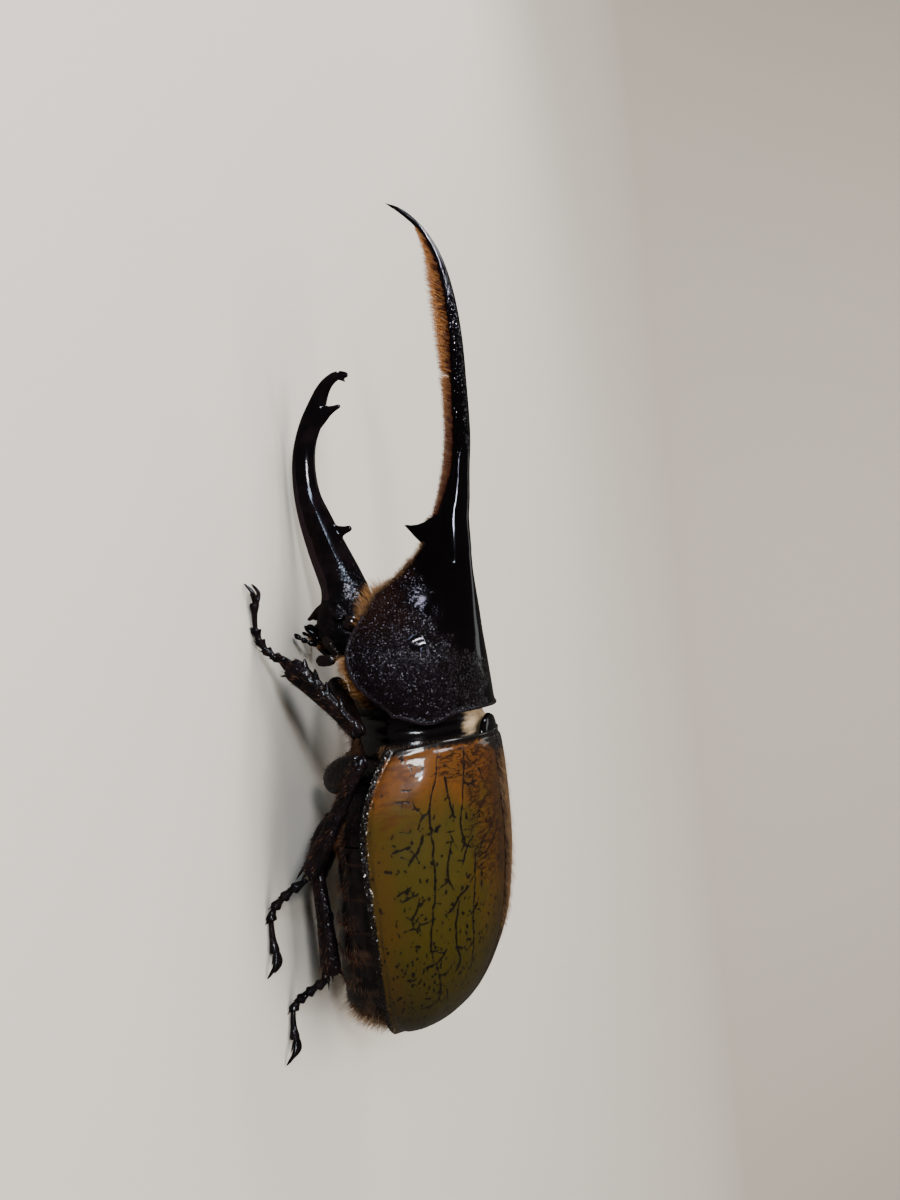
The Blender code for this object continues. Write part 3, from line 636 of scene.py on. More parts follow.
def thorax_shell():
    """Polished along the horn and crown, grained on the flanks, chestnut by the front edge."""
    made = Finish("thorax_shell", specular=0.26, tint=(0.9, 0.86, 1.0))
    step, most, blend = made.step, made.most, made.blend
    on_thorax = step(made.y, -10.5, -5.5)
    # the polished crown reaches down the flank in front, and the grain climbs to the edge behind
    crown_line = step(made.y, -4.0, 13.0, 24.4, 33.2)
    wander = step(made.noise(4.0, 3.0), 0.3, 0.7, -2.2, 2.2)
    height = made.z + wander - crown_line
    bead = step(made.kept("edge"), 0.42, 0.18)
    grained = step(height, 2.5, -2.0) * on_thorax * (1.0 - bead)
    # the front of the dent on each flank is polished
    folded = made.joined(abs(made.x), made.y, made.z)
    from_dent = made.vector("DISTANCE", folded, DENT_GLOSS, output="Value")
    grained = grained * step(from_dent, 1.2, 2.2)
    stray = made.math("LESS_THAN", made.cells(1.15), 0.075)
    along_horn = step(made.y, -23.0, -29.0) * step(made.y, -60.0, -50.0)
    mid_horn = step(made.noise(2.2, 4.0), 0.3, 0.6, 0.65, 0.95) * along_horn
    share = most(grained, stray, mid_horn)
    upright = made.grains(0.14, 0.92, share)
    pits = step(made.cells(0.3), 0.05, 0.32)
    open_pits = 1.0 - (1.0 - pits) * grained
    polish = made.noise(0.5, 4.0, stretch=(1.0, 0.25, 1.0))
    relief = made.bump(open_pits, 0.012, made.bump(polish, 0.006, made.bump(bead, 0.1, upright)))
    plum = blend(grained * made.noise(1.6), DEEP_BLACK, PLUM_BLACK)
    near_edge = step(made.y, 6.0, -3.0) * step(height, 1.0, -7.0)
    colour = blend(near_edge * (on_thorax * 0.75), plum, CHESTNUT)
    # painted highlight: the bead is lightened to violet grey, for the bright line that light draws along
    # the edge of the shield
    colour = blend(bead * 0.5, colour, (0.045, 0.036, 0.047))
    satin = most(step(grained, 0.0, 0.8, 0.09, 0.17), step(made.y, -54.0, -60.0, 0.0, 0.19))
    return made.wire(colour=colour, normal=relief, roughness=satin)


def pitted_shell(name, pit_size, depth, warmth=0.3):
    """Black shell with pits all over, for the head, the legs and the plates below."""
    made = Finish(name, 0.34, coat=0.6, coat_roughness=0.16, specular=0.15, tint=(0.8, 0.82, 1.0))
    wander = made.step(made.noise(1.8, 3.0), 0.38, 0.62)
    upright = made.grains(0.26, 0.85, wander * 0.9)
    coarse = made.step(made.cells(pit_size), 0.08, 0.36)
    pits = made.most(coarse, wander * 0.55)
    wrinkles = made.noise(0.5, 5.0)
    relief = made.bump(pits, depth, made.bump(wrinkles, 0.03, upright))
    plum = plum_clouds(made, 3.0, 0.35, 0.7)
    colour = made.blend(made.step(made.noise(6.0), 0.45, 0.8) * warmth, plum, CHESTNUT)
    return made.wire(colour=colour, normal=relief, coat_normal=relief)


POLISHED = polished_shell()
THORAX = thorax_shell()
HEAD_SHELL = pitted_shell("head_shell", 0.42, 0.06)
LEG_SHELL = pitted_shell("leg_shell", 0.55, 0.05)
print("black finishes:", POLISHED.name, THORAX.name, HEAD_SHELL.name, LEG_SHELL.name)

# %% [markdown]
# The thorax and its great horn are one plate: the shield swells up and forward into the horn
# with no joint between them. The shield is an arch with a small dent on each flank. A fine bead
# runs round its edge. In front it is roofed, to hold the head, and behind that it closes below
# between the front legs. Two teeth stand at the root of the horn. Clay joins it all.

# %% The thorax with its long horn
PRONOTUM_FRONT = -8.0
PRONOTUM_REAR = 17.3
SHIELD_ROOT = -13.0
PRONOTUM_TOP_FRONT = 33.1
PRONOTUM_TOP_REAR = 34.1
# y, half width and height of the side margin
PRONOTUM_MARGIN = (
    (-13.5, 2.7, 27.2), (-11.4, 3.5, 26.0), (-9.7, 4.1, 24.9), (-8.0, 4.6, 23.8), (-5.9, 5.2, 21.9),
    (-4.0, 6.2, 19.3), (-2.7, 7.5, 17.5), (-0.3, 9.4, 16.7),
    (2.0, 11.3, 15.8), (3.6, 12.9, 15.0), (5.1, 14.8, 15.0), (6.9, 16.3, 15.4), (9.3, 17.4, 16.2),
    (11.9, 17.8, 17.7), (14.9, 17.4, 20.4), (17.3, 16.6, 23.4),
)
ROOFED_TO = 7.4
# y, z, half height and half width of the long horn, from inside the shield to its tip
LONG_HORN = (
    (4.0, 28.2, 4.4, 4.2), (-2.0, 28.9, 4.15, 3.8), (
        -6.0, 29.2, 3.8, 3.45
    ), (-11.4, 29.7, 3.4, 3.3), (-15.0, 30.2, 3.05, 3.1),
    (-18.6, 31.3, 2.5, 2.65), (-23.0, 32.3, 1.95, 2.3), (-29.0, 33.2, 1.8, 2.1), (-37.0, 33.6, 1.65, 1.9),
    (-46.0, 33.95, 1.35, 1.6), (-53.6, 33.5, 1.1, 1.3), (-60.0, 32.2, 0.85, 1.0), (-65.4, 29.7, 0.62, 0.7),
    (-69.0, 26.6, 0.52, 0.48), (-70.7, 24.4, 0.26, 0.22), (-71.0, 23.8, 0.12, 0.12),
)

# the tooth at the root of the horn: x, y, z, half length and half width
SIDE_TOOTH = (
    (1.4, -12.4, 29.4, 3.2, 1.5), (2.2, -12.5, 27.4, 2.9, 1.3), (2.9, -12.9, 25.7, 1.75, 0.95),
    (3.3, -13.5, 24.4, 0.85, 0.55), (3.55, -14.0, 23.5, 0.38, 0.3), (3.7, -14.4, 22.8, 0.12, 0.12),
)


def lagged(x, y):
    """The rear edge of the shield runs further back behind the shoulders, and its corners are rounded."""
    bulge = 1.15 * math.exp(-((abs(x) - 14.2) / 2.3) ** 2) - 1.1 * math.exp(-((abs(x) - 17.3) / 1.0) ** 2)
    return y + smooth_step(9, PRONOTUM_REAR, y) * bulge


def margin_at(y):
    """Half width and height of the side margin, evened out over a few millimetres."""
    near = [read_off(PRONOTUM_MARGIN, y + off) for off in (-1.8, -0.9, 0.0, 0.9, 1.8)]
    return [sum(row[i] for row in near) / len(near) for i in range(2)]


def pronotum_ring(y, over, below):
    wide, low = margin_at(y)
    rise = (y - PRONOTUM_FRONT) / (PRONOTUM_REAR - PRONOTUM_FRONT)
    top = PRONOTUM_TOP_FRONT + (PRONOTUM_TOP_REAR - PRONOTUM_TOP_FRONT) * rise
    pinch = 1.0 + 0.12 * smooth_step(1, 6, y)
    ring = []
    for angle in spread(-math.pi / 2, math.pi / 2, over):
        ring.append(Vector((wide * power(math.sin(angle), pinch), y,
                            low + (top - low) * max(math.cos(angle), 0.0) ** pinch)))
    roofed = y < ROOFED_TO
    peak = max(low + 1.6, 16.6) if roofed else 9.4
    hollow = 0.8 if roofed else 3.6
    for angle in spread(math.pi / 2, -math.pi / 2, below + 2)[1:-1]:
        z = low - 0.3 + (peak - low + 0.3) * math.cos(angle) ** hollow
        ring.append(Vector((0.96 * wide * math.sin(angle), y, z)))
    for point in ring[:over]:
        point.y = lagged(point.x, y)
    return ring


SHIELD_EDGE = [(y, *margin_at(y)) for y in spread(-8.0, PRONOTUM_REAR, 52)]


def margin_bead():
    """The raised edge along both sides and round the rear of the shield."""
    forms = []
    for side in SIDES.values():
        rows = [
            (side * (wide - 0.05), lagged(wide, y), low + 0.15, 0.42) for y, wide, low in SHIELD_EDGE
        ]
        forms.append(limb(rows, ACROSS, 10, 1))
    rear = pronotum_ring(PRONOTUM_REAR - 0.25, 41, 5)[:41]
    forms.append(limb([(*p, 0.36) for p in rear], TAILWARDS, 10, 1))
    return forms


def horn(rows, sides, steps, channel=0.0, ridge=0.0):
    """A horn that bends in the plane of symmetry, hollowed below and keeled above if asked."""
    path = through(rows, steps)
    points = [Vector((0.0, y, z)) for y, z, tall, wide in path]
    rings = []
    for i, (y, z, tall, wide) in enumerate(path):
        up = heading(points, i).cross(ACROSS)
        up = up if up.z > 0 else -up
        ring = oval(points[i], ACROSS, up, max(wide, 0.05), max(tall, 0.05), sides)
        for point in ring:
            off = point - points[i]
            place = max(1 - (off.x / max(wide, 0.05)) ** 2, 0.0)
            if off.dot(up) < 0:
                point += up * (channel * tall * place)
            else:
                point += up * (ridge * tall * place ** 3)
        rings.append(ring)
    return skin(rings)


def side_tooth(side):
    """A tooth at the root of the horn: broad where it leaves the edge, and bent forward."""
    rows = [(x * side, y, z, length, width) for x, y, z, length, width in SIDE_TOOTH]
    return limb(rows, TAILWARDS, 18, 4)


# the dent on the left flank
FOVEA = Vector((12.7, 6.6, 26.1))


def thorax_relief(place, normal):
    """A dent on each flank, low wrinkles by the rear edge, and the polished horn left smooth."""
    if place.y < -9:
        return 0.0
    near = Vector((abs(place.x), place.y, place.z)) - FOVEA
    dent = -0.55 * math.exp(-((near.y / 1.7) ** 2 + (near.z / 2.3) ** 2)) if normal.z > -0.2 else 0.0
    bend = 0.1 * noise.noise(place * 0.16 + Vector((7, 3, 1)))
    return dent + bend


def prothorax():
    shield = skin([pronotum_ring(y, 61, 31) for y in spread(SHIELD_ROOT, PRONOTUM_REAR, 70)])
    forms = [
        shield, horn(LONG_HORN, 32, 6, 0.3, 0.06), *margin_bead(), *[side_tooth(s) for s in SIDES.values()]
    ]
    return displaced(moulded("prothorax_shell", forms, THORAX, 0.27, 7), thorax_relief)


def lay_edge(piece):
    """Keep how far each point lies from the raised edge of the shield."""
    rear = pronotum_ring(PRONOTUM_REAR - 0.25, 81, 5)[:81]
    edge = through(SHIELD_EDGE, 3)
    line = [
        Vector((side * wide, lagged(wide, y), low + 0.15)) for side in SIDES.values() for y, wide,
        low in edge
    ]
    line += rear
    tree = search_tree(line)
    keep_values(piece, "edge", [min(tree.find(v.co / MM)[2], 3.0) for v in piece.data.vertices])


thorax_shell_piece = prothorax()
lay_edge(thorax_shell_piece)
lit_by_horn_lamps.objects.link(thorax_shell_piece)
spared_by_flash.objects.link(thorax_shell_piece)
spared_by_flash.collection_objects[0].light_linking.link_state = "EXCLUDE"
stands_for(thorax_shell_piece, "pitted_black", "pronotum", "thoracic_horn")

# %% [markdown]
# The head is a short, boxy capsule, and the second horn rises from it in one sweep. It is
# thick at the root and flattened from the sides. Two teeth stand on the inside of its curve,
# and the tip hooks back with a small notch. Ledges called canthi guard the eyes in front, and
# the clypeus, a plate over the mouth, ends in two blunt points.

# %% The head with its horn
# y, z, half height and half width of the horn on the head, from inside the head to its hook
HEAD_HORN = (
    (1.2, 9.8, 4.2, 3.9), (-2.9, 9.4, 4.5, 3.8), (-6.2, 8.85, 3.9, 3.35), (-12.5, 6.6, 3.4, 2.7),
    (-17.9, 4.9, 2.9, 2.3), (-21.7, 3.95, 2.42, 2.0), (-25.5, 3.65, 2.2, 1.8), (-29.3, 3.9, 2.05, 1.65),
    (-32.4, 4.7, 1.95, 1.55), (-35.2, 5.95, 1.95, 1.45), (-37.8, 7.3, 1.7, 1.3), (-40.4, 8.7, 1.28, 1.1),
    (-42.0, 10.2, 0.98, 0.9), (-42.8, 12.0, 0.76, 0.8), (-42.5, 13.9, 0.42, 0.55),
)
# y, half width, top and bottom of the head
HEAD_STATIONS = (
    (-2.6, 3.9, 13.9, 5.0), (-1.2, 5.0, 14.3, 4.6), (0.6, 6.0, 14.6, 4.4), (3.0, 6.2, 14.7, 4.6),
    (5.4, 5.6, 14.5, 6.0), (7.1, 4.8, 14.1, 8.2),
)
# the two teeth: y and z of the base, y and z of the tip, half length
HEAD_TEETH = ((-36.4, 7.0, -37.4, 12.0, 1.7), (-14.8, 6.4, -15.6, 11.9, 2.3))
# half of the plate over the mouth, and the ledge in front of an eye: x, y, z and two half widths
CLYPEUS = ((1.0, -2.4, 7.0, 2.3, 0.9), (1.15, -1.8, 5.2, 1.9, 0.75), (1.15, -1.0, 3.9, 1.3, 0.6),
           (1.15, -0.4, 2.8, 0.62, 0.42), (1.2, -0.2, 2.3, 0.22, 0.2))
CANTHUS = ((3.6, -1.6, 9.4, 1.5, 1.0), (5.2, -0.9, 10.0, 1.4, 0.75), (6.5, -0.3, 10.7, 1.15, 0.5),
           (7.5, 0.5, 11.2, 0.5, 0.25))


def inner_tooth(base_y, base_z, tip_y, tip_z, thick):
    """A tooth on the inside of the curve: broad at its foot, pinched and pointed above."""
    rows = []
    for t, length, width in (
        (0.0, 1.75, 1.25), (0.3, 1.05, 1.0), (0.52, 0.58, 0.75), (0.75, 0.33, 0.5), (0.93, 0.25, 0.36),
        (1.0, 0.12, 0.2)
    ):
        rows.append(
            (
                0.0, base_y + (tip_y - base_y) * t ** 1.4, base_z + (tip_z - base_z) * t, thick * length,
                width
            )
        )
    return limb(rows, TAILWARDS, 16, 4)


def clypeus():
    """The plate over the mouth, with two points at its lower edge."""
    return [limb([(x * side, y, z, wide, deep) for x, y, z, wide, deep in CLYPEUS], ACROSS, 14, 3)
            for side in SIDES.values()]


def canthus(side):
    """The ledge in front of an eye."""
    return limb(
        [(x * side, y, z, wide, deep) for x, y, z, wide, deep in CANTHUS], Vector((0, 0.4, 1)), 14, 4
    )


def head_relief(place, normal):
    """A flat facet with a low ridge down the front of the horn, and a rough brow."""
    if place.y < -6:
        front = smooth_step(0.3, 0.9, -normal.z)
        return -0.12 * front * math.exp(-(place.x / 0.9) ** 2) * smooth_step(-30, -12, place.y)
    return 0.16 * noise.noise(place * 0.7)


def head_capsule():
    capsule = skin([body_ring(y, wide, top, 0.5 * (top + bottom), bottom, 0.82, 0.82, 36)
                    for y, wide, top, bottom in through(HEAD_STATIONS, 4)])
    forms = [capsule, horn(HEAD_HORN, 28, 5, 0.0, 0.1)]
    forms += [inner_tooth(*tooth) for tooth in HEAD_TEETH]
    forms += clypeus() + [canthus(side) for side in SIDES.values()]
    # a small barb under the hook gives its notch
    forms.append(thorn((0, -42.3, 12.4), (0, -41.2, 13.6), 0.45))
    return displaced(moulded("head_capsule", forms, HEAD_HORN_SHELL, 0.17, 6), head_relief)


def horn_to_head_shell():
    """Polished along the horn, grained and scratched at its root and on the head."""
    made = Finish("head_horn_shell", specular=0.35, tint=(0.9, 0.88, 1.0))
    step, blend = made.step, made.blend
    rough = step(made.y, -13.0, -1.0, 0.0, 0.8)
    stray = made.math("LESS_THAN", made.cells(1.3), 0.08)
    upright = made.grains(0.2, 0.55, made.most(rough * 0.8, stray))
    coarse = step(made.cells(0.4), 0.08, 0.34)
    scratches = made.noise(0.3, 4.0, stretch=(1.0, 0.3, 1.0))
    pits = 1.0 - (1.0 - coarse) * rough
    height = made.kept("height_on_horn")
    facet = step(height, -0.28, -0.42) * step(made.y, -31.0, -23.0)
    relief = made.bump(facet, 0.1, made.bump(pits, 0.04, made.bump(scratches, 0.012, upright)))
    plum = plum_clouds(made, 3.5, 0.4, 0.75)
    below = step(made.y, -20.0, -6.0) * step(made.z, 7.5, 3.5)
    colour = blend(below * 0.5, plum, CHESTNUT)
    colour = blend(facet * 0.6, colour, (0.024, 0.0125, 0.0155))
    return made.wire(
        colour=colour, normal=relief, roughness=step(made.most(rough, facet), 0.0, 0.9, 0.09, 0.26)
    )


def lay_height(piece):
    """Keep where each point lies between the front edge of the horn, -1, and its back edge, 1."""
    found = []
    for vertex in piece.data.vertices:
        place = vertex.co / MM
        middle, tall, wide = read_off(HEAD_HORN[::-1], place.y)
        found.append((place.z - middle) / tall if -33 < place.y < -3 else 1.0)
    keep_values(piece, "height_on_horn", found)


HEAD_HORN_SHELL = horn_to_head_shell()
head_piece = head_capsule()
lay_height(head_piece)
stands_for(head_piece, "pitted_black", "head", "cephalic_horn")

# %% [markdown]
# The parts round the mouth are small, and they're what a viewer looks at first. The eyes are
# glossy black beads, each with a very fine mesh of facets that only softens its highlight. The
# jaws are stout hooks. The lower lip carries a brush, two pairs of jointed feelers stand
# beside it, and each antenna ends in a club of three leaves, shut like a closed fan.

# %% Eyes, jaws, lip, feelers and antennae


def eye_finish():
    made = Finish("eye", roughness=0.07, coat=1.0, coat_roughness=0.02)
    lenses = made.step(made.cells(0.085, "DISTANCE_TO_EDGE", randomness=0.15), 0.0, 0.35)
    tint = made.step(made.noise(0.8), 0.3, 0.8)
    return made.wire(colour=made.blend(tint, (0.004, 0.003, 0.004), (0.02, 0.008, 0.006)),
                     normal=made.bump(lenses, 0.004))


def club_finish():
    """The leaves of the antenna: dull, fine-grained, a little brown."""
    made = Finish("antenna_club", roughness=0.26)
    grain = made.noise(0.12, 3.0)
    colour = made.blend(made.noise(0.7), (0.004, 0.003, 0.0035), (0.014, 0.007, 0.006))
    return made.wire(colour=colour, normal=made.bump(grain, 0.02))


EYE = eye_finish()
CLUB = club_finish()
EYE_CENTRE = Vector((5.6, 1.2, 12.4))
EYE_RADII = Vector((1.45, 1.45, 1.5))


def eye_form():
    rings = []
    for turn in spread(0.12, math.pi - 0.12, 26):
        ring = []
        for i in range(40):
            around = 2 * math.pi * i / 40
            out = Vector(
                (math.cos(turn), math.sin(turn) * math.cos(around), math.sin(turn) * math.sin(around))
            )
            ring.append(EYE_CENTRE + Vector(a * b for a, b in zip(out, EYE_RADII)))
        rings.append(ring)
    return skin(rings)


def jaw_form():
    rows = [
        (3.2, 3.4, 5.2, 1.2, 0.9), (3.0, 2.0, 4.0, 1.1, 0.8), (2.3, 1.2, 3.1, 0.8, 0.6),
        (1.3, 0.9, 2.4, 0.25, 0.22)
    ]
    hump = [(3.5, 2.6, 4.6, 0.6, 0.6), (3.9, 1.6, 3.5, 0.5, 0.45), (3.7, 0.8, 2.8, 0.15, 0.15)]
    return [limb(rows, Vector((1, 0.4, 0)), 16, 5), limb(hump, Vector((1, 0.4, 0)), 12, 4)]


def palp_form():
    """Three bead-like joints on thin necks."""
    rows = [(3.3, 4.4, 4.6, 0.4), (3.9, 3.9, 3.7, 0.52), (4.1, 3.7, 3.4, 0.28),
            (4.4, 3.3, 2.7, 0.52), (4.5, 3.1, 2.45, 0.28), (4.6, 2.6, 1.7, 0.5),
            (4.6, 2.1, 1.2, 0.2)]
    inner = [(1.6, 3.2, 3.4, 0.34), (1.9, 2.7, 2.7, 0.36), (2.0, 2.5, 2.4, 0.22),
             (2.1, 2.2, 1.9, 0.34),
             (2.1, 1.9, 1.5, 0.15)]
    return [limb(rows, ACROSS, 14, 4), limb(inner, ACROSS, 12, 4)]


def antenna_forms():
    stalk = [(5.6, 3.4, 7.6, 0.75), (6.8, 4.6, 8.9, 0.7), (7.0, 4.85, 9.15, 0.36),
             (7.4, 5.4, 9.8, 0.44), (7.5, 5.6, 9.95, 0.3), (7.7, 6.0, 10.3, 0.46),
             (7.8, 6.2, 10.35, 0.3), (7.95, 6.6, 10.4, 0.46), (8.1, 7.0, 9.8, 0.5)]
    leaves = []
    for offset in (-0.52, 0.0, 0.52):
        length = 3.5 - 0.6 * abs(offset)
        rows = [(8.1 + 0.6 * offset, 7.1, 9.9, 0.4, 0.16), (8.1 + offset, 7.1, 9.3, 0.86, 0.22),
                (8.05 + offset, 7.1, 8.2, 1.02, 0.24), (7.98 + offset, 7.05, 7.2, 0.86, 0.22),
                (7.9 + offset, 7.0, 9.95 - length, 0.35, 0.14)]
        leaves.append(limb(rows, TAILWARDS, 16, 5))
    return limb(stalk, TAILWARDS, 14, 4), leaves


def lip_form():
    stations = ((2.6, 1.3, 2.7, 3.9), (3.8, 2.1, 2.9, 4.6), (5.6, 2.4, 4.0, 6.0), (7.0, 2.2, 5.6, 7.4))
    return skin([oval(Vector((0, y, 0.5 * (low + high))), ACROSS, UP, wide,
                      0.5 * (high - low), 24, 0.85) for y, wide, low, high in through(stations, 5)])


def both_sides(name, left, slot_name):
    """Seat the left piece, and make and seat its mirror image."""
    right = mirrored(left, f"{name}_right_dressed")
    stands_for(left, slot_name, f"{name}_left")
    stands_for(right, slot_name, f"{name}_right")
    return left, right


both_sides("eye", solid("eye_left_dressed", [eye_form()], EYE), "eye_black")
both_sides("mandible", moulded("mandible_left_dressed", jaw_form(), POLISHED, 0.11, 3), "polished_black")
both_sides("palp", moulded("palp_left_dressed", palp_form(), POLISHED, 0.08, 2), "polished_black")
stalk_form, leaf_forms = antenna_forms()
both_sides("antenna", solid("antenna_left_dressed", [stalk_form, *leaf_forms], CLUB), "polished_black")
lip_piece = moulded("labium_dressed", [lip_form()], HEAD_SHELL, 0.15, 3)
stands_for(lip_piece, "pitted_black", "labium")

# %% [markdown]
# The wing covers carry the picture of this animal. Each one is a quarter of an egg: an arch from
# the seam in the middle of the back down to its rim, closing towards the tail. The shape comes
# from three curves along the length, for its width, its crown and its rim. The surface is
# drawn as a fine even grid instead of clay, because wet highlights show every ripple. Along
# its edges it is pressed into beads and grooves, and it has a wall of real thickness.

# %% Wing covers: the shape
ELYTRA_FRONT = 21.3
ELYTRA_END = 71.0
ELYTRA_WIDEST_AT = 34.0
ELYTRA_HALF_WIDTH = 21.0
ELYTRA_TOP = 34.6
ELYTRA_RIM = 17.1
ELYTRA_APEX = 13.5
ELYTRA_WALL = 0.9
SEAM = 0.15
ARC = 31.0
SHEET = 50.0


def elytra_half_width(y):
    if y < ELYTRA_WIDEST_AT:
        t = (ELYTRA_WIDEST_AT - y) / (ELYTRA_WIDEST_AT - ELYTRA_FRONT)
        return ELYTRA_HALF_WIDTH * (1 - 0.255 * max(t, 0.0) ** 2.4)
    t = min((y - ELYTRA_WIDEST_AT) / (ELYTRA_END + 0.2 - ELYTRA_WIDEST_AT), 1.0)
    return ELYTRA_HALF_WIDTH * (1 - t ** 2.5) ** (1 / 1.9)


def elytra_rim(y):
    if y < 36:
        return ELYTRA_RIM + 3.9 * ((36 - y) / 14.7) ** 1.7
    return ELYTRA_RIM - 3.9 * max((y - 46) / 25, 0.0) ** 2


def elytra_top(y):
    if y < 32:
        return ELYTRA_TOP - 0.3 * ((32 - y) / 10.7) ** 2
    t = min((y - 32) / (ELYTRA_END - 32), 1.0)
    return ELYTRA_APEX + (ELYTRA_TOP - ELYTRA_APEX) * math.sqrt(1 - min(t ** 2.6, 1.0))


def vault(y, angle, inset=0.0):
    """A point of the vault: angle 0 is the seam of the back, a right angle is the rim."""
    rim = elytra_rim(y)
    wide = max(elytra_half_width(y) - inset, 0.05)
    tall = max(elytra_top(y) - rim - inset, 0.05)
    shoulder = 1 - 0.035 * math.exp(-((y - ELYTRA_FRONT) / 1.0) ** 2)
    return Vector((wide * shoulder * math.sin(angle), y, rim + tall * shoulder * math.cos(angle)))


def hill(distance, width):
    return math.exp(-(distance / width) ** 2)


def elytron_relief(across, y, narrow):
    """Height over the plain vault. across is the arc from the seam, narrow its share of the full arc."""
    from_rim = (ARC - across) * narrow
    from_seam = across * narrow
    from_base = y - ELYTRA_FRONT
    height = 0.3 * hill(from_rim, 0.6) - 0.2 * hill(from_rim - 1.35, 0.45)
    height += 0.08 * hill(from_seam, 0.6) - 0.15 * hill(
        from_seam - 1.5, 0.28
    ) * smooth_step(2.0, 6.0, from_base)
    height += 0.3 * hill(from_base, 0.5) - 0.14 * hill(from_base - 0.95, 0.32)
    height += 0.5 * hill(math.hypot(across - 20.5, y - 25.4), 3.2)
    height += 0.3 * hill(math.hypot(across - 17.5, y - 62.5), 4.0)
    spot = Vector((across, y, 0.0))
    height += 0.1 * noise.noise(spot * 0.14) + 0.018 * noise.noise(spot * 0.9)
    return height


def set_back(y, angle):
    """How far the base of the cover is drawn back towards its outer corner."""
    return 0.7 * smooth_step(0.85, math.pi / 2, angle) * math.exp(-(y - ELYTRA_FRONT) / 4.0)


def elytron():
    lengthwise, outer_steps, inner_steps = 300, 176, 24
    rings, sheet = [], []
    for t in spread(0, 1, lengthwise):
        share = 0.12 * t + 0.88 * math.sin(t * math.pi / 2) ** 0.9
        y = ELYTRA_FRONT + (ELYTRA_END - ELYTRA_FRONT) * share
        y_in = ELYTRA_FRONT + (ELYTRA_END - ELYTRA_WALL - ELYTRA_FRONT) * share
        narrow = min(elytra_half_width(y) / ELYTRA_HALF_WIDTH, 1.0)
        fade = smooth_step(ELYTRA_END, ELYTRA_END - 1.5, y)
        ring, marks = [], []
        for angle in spread(0, math.pi / 2, outer_steps):
            across = angle / (math.pi / 2) * ARC
            # the corner by the rim is rounded off
            place_y = y + set_back(y, angle)
            base = vault(place_y, angle)
            step = 0.002
            sideways = vault(place_y, angle + step) - vault(place_y, angle - step)
            lengthways = vault(min(place_y + 0.05, ELYTRA_END), angle) - vault(place_y - 0.05, angle)
            out = sideways.cross(lengthways).normalized()
            out = out if out.dot(Vector((math.sin(angle), 0.2, math.cos(angle)))) > 0 else -out
            ring.append(base + out * (elytron_relief(across, y, narrow) * fade))
            marks.append((across / SHEET, (y - ELYTRA_FRONT) / SHEET))
        for angle in reversed(spread(0, math.pi / 2, inner_steps)):
            inside = vault(y_in + set_back(y_in, angle), angle, ELYTRA_WALL)
            ring.append(inside)
            marks.append((angle / (math.pi / 2) * ARC / SHEET, -0.1 - (y - ELYTRA_FRONT) / SHEET / 4))
        for point in ring:
            point.x = max(point.x, 0.0) + SEAM
        rings.append(ring)
        sheet.append(marks)
    return rings, sheet


def lay_sheet(piece, rings, sheet):
    """Keep the arc and the length of each point of the cover as a UV map called shell."""
    flat = [mark for marks in sheet for mark in marks]
    ends = [marks[len(marks) // 4] for marks in (sheet[0], sheet[-1])]
    flat += ends
    layer = piece.data.uv_layers.new(name="shell")
    for loop in piece.data.loops:
        layer.data[loop.index].uv = flat[loop.vertex_index]


elytron_rings, elytron_sheet = elytron()
left_cover = solid("elytron_left_dressed", [skin(elytron_rings)])
lay_sheet(left_cover, elytron_rings, elytron_sheet)
right_cover = mirrored(left_cover, "elytron_right_dressed")
print("one wing cover:", facets(left_cover), "triangles")

# %% [markdown]
# Under the clear, wet surface the covers are orange-brown at the base, olive in the middle and
# ochre by the rim, and black cracks run over them like those in old varnish. The long cracks
# are named strokes. A script walks along each, lets it wander by noise, thins it to its ends and
# grows twigs from it. Every point of the cover then keeps how far it is from the nearest
# crack, and the paint turns that distance into ink. Dots, dashes and the worm-like wrinkles by
# the seam are small enough to come from the paint itself.

